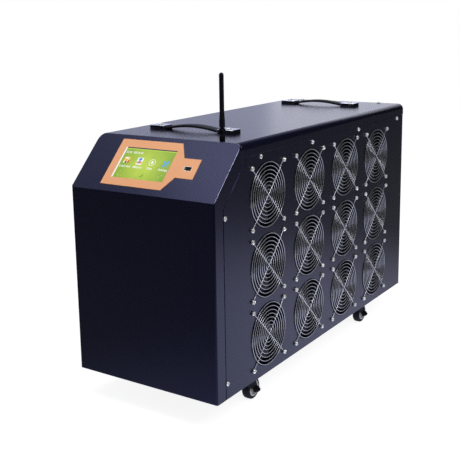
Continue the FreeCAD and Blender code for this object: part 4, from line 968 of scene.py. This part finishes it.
def writing(name, lines, material):
    # generic words and numbers on the display, as (text, x, y, height)
    merged = bmesh.new()
    for text, x, y, height in lines:
        curve = bpy.data.curves.new(name, "FONT")
        curve.body = text
        curve.size = height / 1000
        curve.align_x = "CENTER"
        curve.extrude = 0.00003
        curve.offset = height * 0.000012
        data = meshOfCurve(name, curve)
        spot = Matrix.Translation((x, y, displaySizes["markLift"]))
        data.transform(onSlope @ spot @ Matrix.Scale(1000, 4))
        merged.from_mesh(data)
        bpy.data.meshes.remove(data)
    makePiece(name, merged, material, slot="display_glass")


# the Edge ink is the dark of a painted shadow along the picture's top
inks = {"White": "#f4f7ee", "Sky": "#55aeea", "Pale": "#adc95e", "Shade": "#9a9f86",
        "Edge": "#34325c", "Band": "#b3d34a", "Red": "#dd4a26", "Yellow": "#f6cf33",
        "Orange": "#f09018", "Dark": "#2f2a3c", "Blue": "#4a8fe0", "Amber": "#f29a14",
        "Leaf": "#6ea62c"}


def displayMarks():
    # flat marks on the picture, as (name, ink, level, outlines)
    d = displaySizes
    left, right = d["left"] + d["margin"], d["right"] - d["margin"]
    low, high, edge = d["low"] + d["margin"], d["high"] - d["margin"], d["high"]
    chart, card, _, tools = d["columns"]
    return [
        ("Strip", "White", 1, [rectangle(left, d["left"] + d["strip"], low, high)]),
        # a dark band along the picture's top edge, a painted shadow of the bezel
        ("TopShade", "Edge", 0, [rectangle(left, right, edge - d["shade"], high)]),
        ("TopBand", "Band", 0, [rectangle(left, right, edge - d["band"], edge - d["shade"])]),
        # a bar chart
        ("ChartPale", "White", 0, [rectangle(chart - 6, chart + 2, 60, 72)]),
        ("ChartRed", "Red", 0, [rectangle(chart + 2.8, chart + 5.8, 59.5, 65.5)]),
        ("ChartYellow", "Yellow", 1, [rectangle(chart - 6, chart - 3, 63.5, 69.5),
                                      rectangle(chart + 2.8, chart + 5.8, 65.5, 72.5)]),
        ("ChartOrange", "Orange", 1, [rectangle(chart - 2.4, chart + 0.8, 62.5, 68.5)]),
        ("ChartDark", "Dark", 1, [rectangle(chart - 3.2, chart + 1.4, 60, 62.4)]),
        # a meter on a white card
        ("Card", "White", 0, [rectangle(card - 6.3, card + 6.3, 58.5, 73)]),
        ("CardBlue", "Blue", 1, [circlePoints(3.9, 20, (card, 68.5), 0, math.pi),
                                 rectangle(card - 1.6, card + 1.6, 61, 68.5)]),
        ("CardOrange", "Amber", 1, [circlePoints(2.4, 16, (card - 3.4, 63)),
                                    circlePoints(2.4, 16, (card + 3.4, 63))]),
        # crossed tools
        ("Tools", "Sky", 0, [bar((tools - 6, 58.6), (tools + 3.4, 67.4), 2.6),
                             bar((tools + 3.8, 58.8), (tools - 3.2, 69), 2.6),
                             bar((tools + 1.6, 66.4), (tools + 4.6, 71.6), 2.6),
                             bar((tools + 1.8, 67), (tools + 6.4, 67.6), 2.4),
                             rectangle(tools - 5.4, tools - 1.6, 67.4, 70.8)]),
        ("Bubbles", "Pale", 0, [circlePoints(1.9, 14, (-64, 35)),
                                circlePoints(1.5, 14, (-57, 33.5)),
                                circlePoints(1.4, 12, (-62, 41)),
                                circlePoints(1.3, 12, (-51.5, 36)),
                                circlePoints(1.6, 14, (21, 38)),
                                circlePoints(1.2, 12, (26, 42))]),
        ("Specks", "Shade", 0, [circlePoints(1.1, 12, spot)
                                for spot in ((-16, 64), (-25.5, 32.3), (23.7, 31.6))]),
        ("Leaf", "Leaf", 0, [[(-19, 34), (-14.5, 34.4), (-11.4, 37.2), (-10.4, 43),
                              (-12.8, 39.4), (-15, 37.2)]]),
    ]


def makeDisplay():
    d = displaySizes
    displayPicture()
    lit = {ink: litMaterial("lit" + ink, colour) for ink, colour in inks.items()}
    for name, ink, level, outlines in displayMarks():
        mesh = bmesh.new()
        raised = d["levelStep"] * level
        for outline in outlines:
            slab(mesh, outline, d["lift"] + raised, d["markLift"] + raised, onSlope)
        makePiece("display" + name, mesh, lit[ink], slot="display_glass")
    # a ring gauge
    chart, card, gauge, tools = d["columns"]
    mesh = bmesh.new()
    path = [(x, y, d["markLift"]) for x, y in circlePoints(6.2, 36, (gauge, 65.6))]
    tube(mesh, path, 0.45, onSlope, sides=6, closed=True)
    slab(mesh, rectangle(gauge - 1.9, gauge + 1.9, 62.6, 68.6), d["lift"], d["markLift"], onSlope)
    makePiece("displayGauge", mesh, lit["White"], slot="display_glass")
    writing("displayWriting", [("12:45  08:24:36", -52.6, 80.5, 6.1),
                               ("Load test", chart + 2, 51.4, 6.5),
                               ("Meters", card + 1, 51.2, 6.6), ("Data", gauge, 51.2, 6.2),
                               ("Settings", tools, 51, 6.1)], lit["White"])


portSizes = {
    "middle": (70.5, 60.247),
    "width": 15.6,
    "tall": 9,
    "shell": 0.5,
    "proud": 0.6,
    "depth": 16,
    "block": -9,
    "tongue": 11.6,
    "tongueTip": -2,
    "tongueThickness": 1.8,
    "tongueRise": 1.3,
    "contacts": 4,
    "contact": 1.1,
}


def makePort():
    p = portSizes
    place = onSlope @ Matrix.Translation((*p["middle"], 0))
    wide, tall = p["width"] / 2, p["tall"] / 2
    boreWide, boreTall = wide - p["shell"], tall - p["shell"]
    deep, block = -p["depth"], p["block"]
    # a drawn sleeve, which is open at both ends
    mesh = bmesh.new()
    outer = rectangle(-wide, wide, -tall, tall)
    bore = rectangle(-boreWide, boreWide, -boreTall, boreTall)
    rings = [addRing(mesh, outline, level, place) for outline, level in
             ((outer, deep), (outer, p["proud"]), (bore, p["proud"]), (bore, deep))]
    skin(mesh, rings + rings[:1])
    makePiece("portShell", mesh, "tinPlate", replaced=["usb_socket"], slot="zinc_steel")
    # a moulded block with its tongue, and above it a dark sheet along the upper wall, painted
    # shade where that wall lies in shadow
    mesh = bmesh.new()
    box(mesh, (-boreWide - 0.1, boreWide + 0.1), (-boreTall - 0.1, boreTall + 0.1),
        (deep + 0.2, block), place)
    middle, thick = p["tongueRise"], p["tongueThickness"] / 2
    box(mesh, (-p["tongue"] / 2, p["tongue"] / 2), (middle - thick, middle + thick),
        (block - 0.2, p["tongueTip"]), place)
    # painted shade: a dark sheet along the bore's upper wall
    box(mesh, (-boreWide + 0.6, boreWide - 0.05), (boreTall - 0.5, boreTall - 0.05),
        (block - 0.2, -0.5), place)
    makePiece("portInsulator", mesh, "sparkNylon", slot="black_plastic")
    mesh = bmesh.new()
    under = middle - thick
    for k in range(p["contacts"]):
        x = (k - (p["contacts"] - 1) / 2) * p["tongue"] / 4.6
        box(mesh, (x - p["contact"] / 2, x + p["contact"] / 2), (under - 0.08, under + 0.05),
            (block, p["tongueTip"] - 0.6), place)
    makePiece("portContacts", mesh, "turnedBrass", slot="brass_metal")


makeDisplay()
makePort()
dress("control_overlay", "printedFilm")
dress("touch_screen", "displayGlass")
print("display done")


# rear connections and inside parts

rearParts = {
    "positive_terminal_block": ("redMoulding", 0.8),
    "negative_terminal_block": ("glossAbs", 0.8),
    "terminal_studs": ("turnedBrass", 0.3),
    "terminal_nuts": ("turnedBrass", 0.4),
    "breaker_body": ("sparkNylon", 0.5),
    "breaker_lever": ("glossAbs", 0.5),
    "inlet_socket": ("glossAbs", 0.3),
    "switch_bezel": ("sparkNylon", 0.3),
    "rocker_switch": ("glossAbs", 0.3),
    "comms_port": ("zincPlate", 0.0),
    "resistor_racks": ("rolledSteel", 0.0),
    "resistor_tubes": ("rolledSteel", 0.0),
    "control_board": ("solderMask", 0.0),
    "contactor": ("sparkNylon", 0.5),
    "busbars": ("copperBar", 0.2),
}
for node, (finish, edge) in rearParts.items():
    dress(node, finish, edge)
print("rear and inside parts done")


# floor, light and camera, in metres

floorSizes = {
    "reach": 6,
    "level": -0.0002,
    "seenWhite": 0.89,
    "seenShadow": "#858585",
    "poolMiddle": (0.52, -0.03, 0),
    "poolFade": (0.25, 1.08),
    "poolStrength": 1.25,
}

lightSizes = {
    "roomStrength": 0.46,
    "brightWall": (-0.75, 0.35, 0.55),
    "wallFade": (0.38, 0.75),
    "dimRoom": 0.01,
    "coolRoom": "#dee2ff",
    "lamps": [
        # name, place, aims at, size, watts
        ("topSoftbox", (-0.5, -0.75, 2.13), (0.1, -0.36, 0.42), (1.05, 1.1), 14),
        ("sideSoftbox", (1.9, -0.5, 2.1), (0.15, -0.3, 0.4), (1.0, 1.2), 32),
        ("rearSoftbox", (-0.6, 2.2, 1.0), (0, 0, 0.45), (1.25, 1.0), 2.3),
    ],
}


def seenRays(tree, path):
    # 1 for rays from the camera, off gloss and through glass, 0 for light that surfaces scatter
    seen = addNode(tree, "Math", {"operation": "MAXIMUM"},
                   {0: path["Is Camera Ray"], 1: path["Is Glossy Ray"]})
    return addNode(tree, "Math", {"operation": "MAXIMUM"},
                   {0: seen["Value"], 1: path["Is Transmission Ray"]})["Value"]


def makeFloor():
    s = floorSizes
    mesh = bmesh.new()
    reach = s["reach"]
    mesh.faces.new(addRing(mesh, rectangle(-reach, reach, -reach, reach), s["level"], Matrix()))
    floor = addObject("floor", meshData("floor", mesh))
    material, tree = newMaterial("paleFloor")
    place = addNode(tree, "TexCoord")
    cloud = addNode(tree, "TexNoise", {"Scale": 3.0, "Detail": 2.0}, {"Vector": place["Object"]})
    tone = mixed(tree, "#e6e6e8", "#eaeaec", cloud["Fac"])
    matt = addNode(tree, "BsdfDiffuse", None, {"Color": tone})
    # to the eye the floor is white and keeps a faint shadow; metal and gloss see a pool of
    # light beside the object that fades out about a metre from its middle
    faint = addNode(tree, "BsdfDiffuse", {"Color": linear(s["seenShadow"])})
    path = addNode(tree, "LightPath")
    away = addNode(tree, "VectorMath", {"operation": "DISTANCE", 1: s["poolMiddle"]},
                   {0: place["Object"]})
    pool = fade(tree, away["Value"], *s["poolFade"], s["poolStrength"], 0.0)
    lit = addNode(tree, "Mix", {"data_type": "FLOAT", 3: s["seenWhite"]},
                  {0: path["Is Camera Ray"], 2: pool})
    tint = mixed(tree, lightSizes["coolRoom"], "#ffffff", path["Is Camera Ray"])
    bright = addNode(tree, "Emission", None, {"Strength": lit[0], "Color": tint})
    shown = addNode(tree, "AddShader", None, {0: faint["BSDF"], 1: bright["Emission"]})
    blend = addNode(tree, "MixShader", None,
                    {0: seenRays(tree, path), 1: matt["BSDF"], 2: shown["Shader"]})
    addNode(tree, "OutputMaterial", None, {"Surface": blend["Shader"]})
    floor.data.materials.append(material)


def makeRoom():
    s = lightSizes
    world = bpy.data.worlds.new("paleRoom")
    world.use_nodes = True
    tree = world.node_tree
    tree.nodes.clear()
    path = addNode(tree, "LightPath")
    # gloss sees a bright wall behind on the left and overhead, and a dim room on the other
    # side; to the eye the room is white
    look = addNode(tree, "TexCoord")
    facing = addNode(tree, "VectorMath", {"operation": "DOT_PRODUCT", 1: s["brightWall"]},
                     {0: look["Generated"]})
    wall = fade(tree, facing["Value"], *s["wallFade"], s["dimRoom"], 1.0)
    shown = addNode(tree, "Mix", {"data_type": "FLOAT", 3: 1.0},
                    {0: path["Is Camera Ray"], 2: wall})
    strength = addNode(tree, "Mix", {"data_type": "FLOAT", 2: s["roomStrength"]},
                       {0: seenRays(tree, path), 3: shown[0]})
    glossOnly = addNode(tree, "Math", {"operation": "SUBTRACT", "use_clamp": True},
                        {0: path["Is Glossy Ray"], 1: path["Is Camera Ray"]})
    tint = mixed(tree, "#ffffff", s["coolRoom"], glossOnly["Value"])
    background = addNode(tree, "Background", None, {"Strength": strength[0], "Color": tint})
    addNode(tree, "OutputWorld", None, {"Surface": background["Background"]})
    bpy.context.scene.world = world


def makeLamps():
    for name, spot, target, size, watts in lightSizes["lamps"]:
        lamp = bpy.data.lights.new(name, "AREA")
        lamp.shape = "RECTANGLE"
        lamp.size, lamp.size_y = size
        lamp.energy = watts
        holder = addObject(name, lamp)
        holder.location = spot
        aim = Vector(target) - Vector(spot)
        holder.rotation_euler = aim.to_track_quat("-Z", "Y").to_euler()


# the place and the sensor are in millimetres, the angles in degrees, the rest in pixels
cameraSizes = {
    "place": (875.85, -1459.27, 673.35),
    "azimuth": 34.418,
    "elevation": 11.60,
    "roll": -1.105,
    "focal": 851.79,
    "centre": (213.99, 189.87),
    "picture": 460,
    "sensor": 36,
}


def makeCamera():
    c = cameraSizes
    azimuth, elevation, roll = (math.radians(c[name])
                                for name in ("azimuth", "elevation", "roll"))
    back = Vector((math.sin(azimuth) * math.cos(elevation),
                   -math.cos(azimuth) * math.cos(elevation), math.sin(elevation)))
    right = Vector((0, 0, 1)).cross(back).normalized()
    up = back.cross(right)
    level = right * math.cos(roll) + up * math.sin(roll)
    upright = up * math.cos(roll) - right * math.sin(roll)
    camera = bpy.data.cameras.new("camera")
    camera.sensor_width = c["sensor"]
    camera.lens = c["focal"] / c["picture"] * c["sensor"]
    camera.shift_x = (c["picture"] / 2 - c["centre"][0]) / c["picture"]
    camera.shift_y = (c["centre"][1] - c["picture"] / 2) / c["picture"]
    camera.clip_start, camera.clip_end = 0.05, 50
    holder = addObject("camera", camera)
    turn = Matrix((level, upright, back)).transposed().to_4x4()
    holder.matrix_world = Matrix.Translation(Vector(c["place"]) / 1000) @ turn
    bpy.context.scene.camera = holder


makeFloor()
makeRoom()
makeLamps()
makeCamera()
bpy.context.scene.view_settings.view_transform = "Standard"
print("floor, light and camera done")
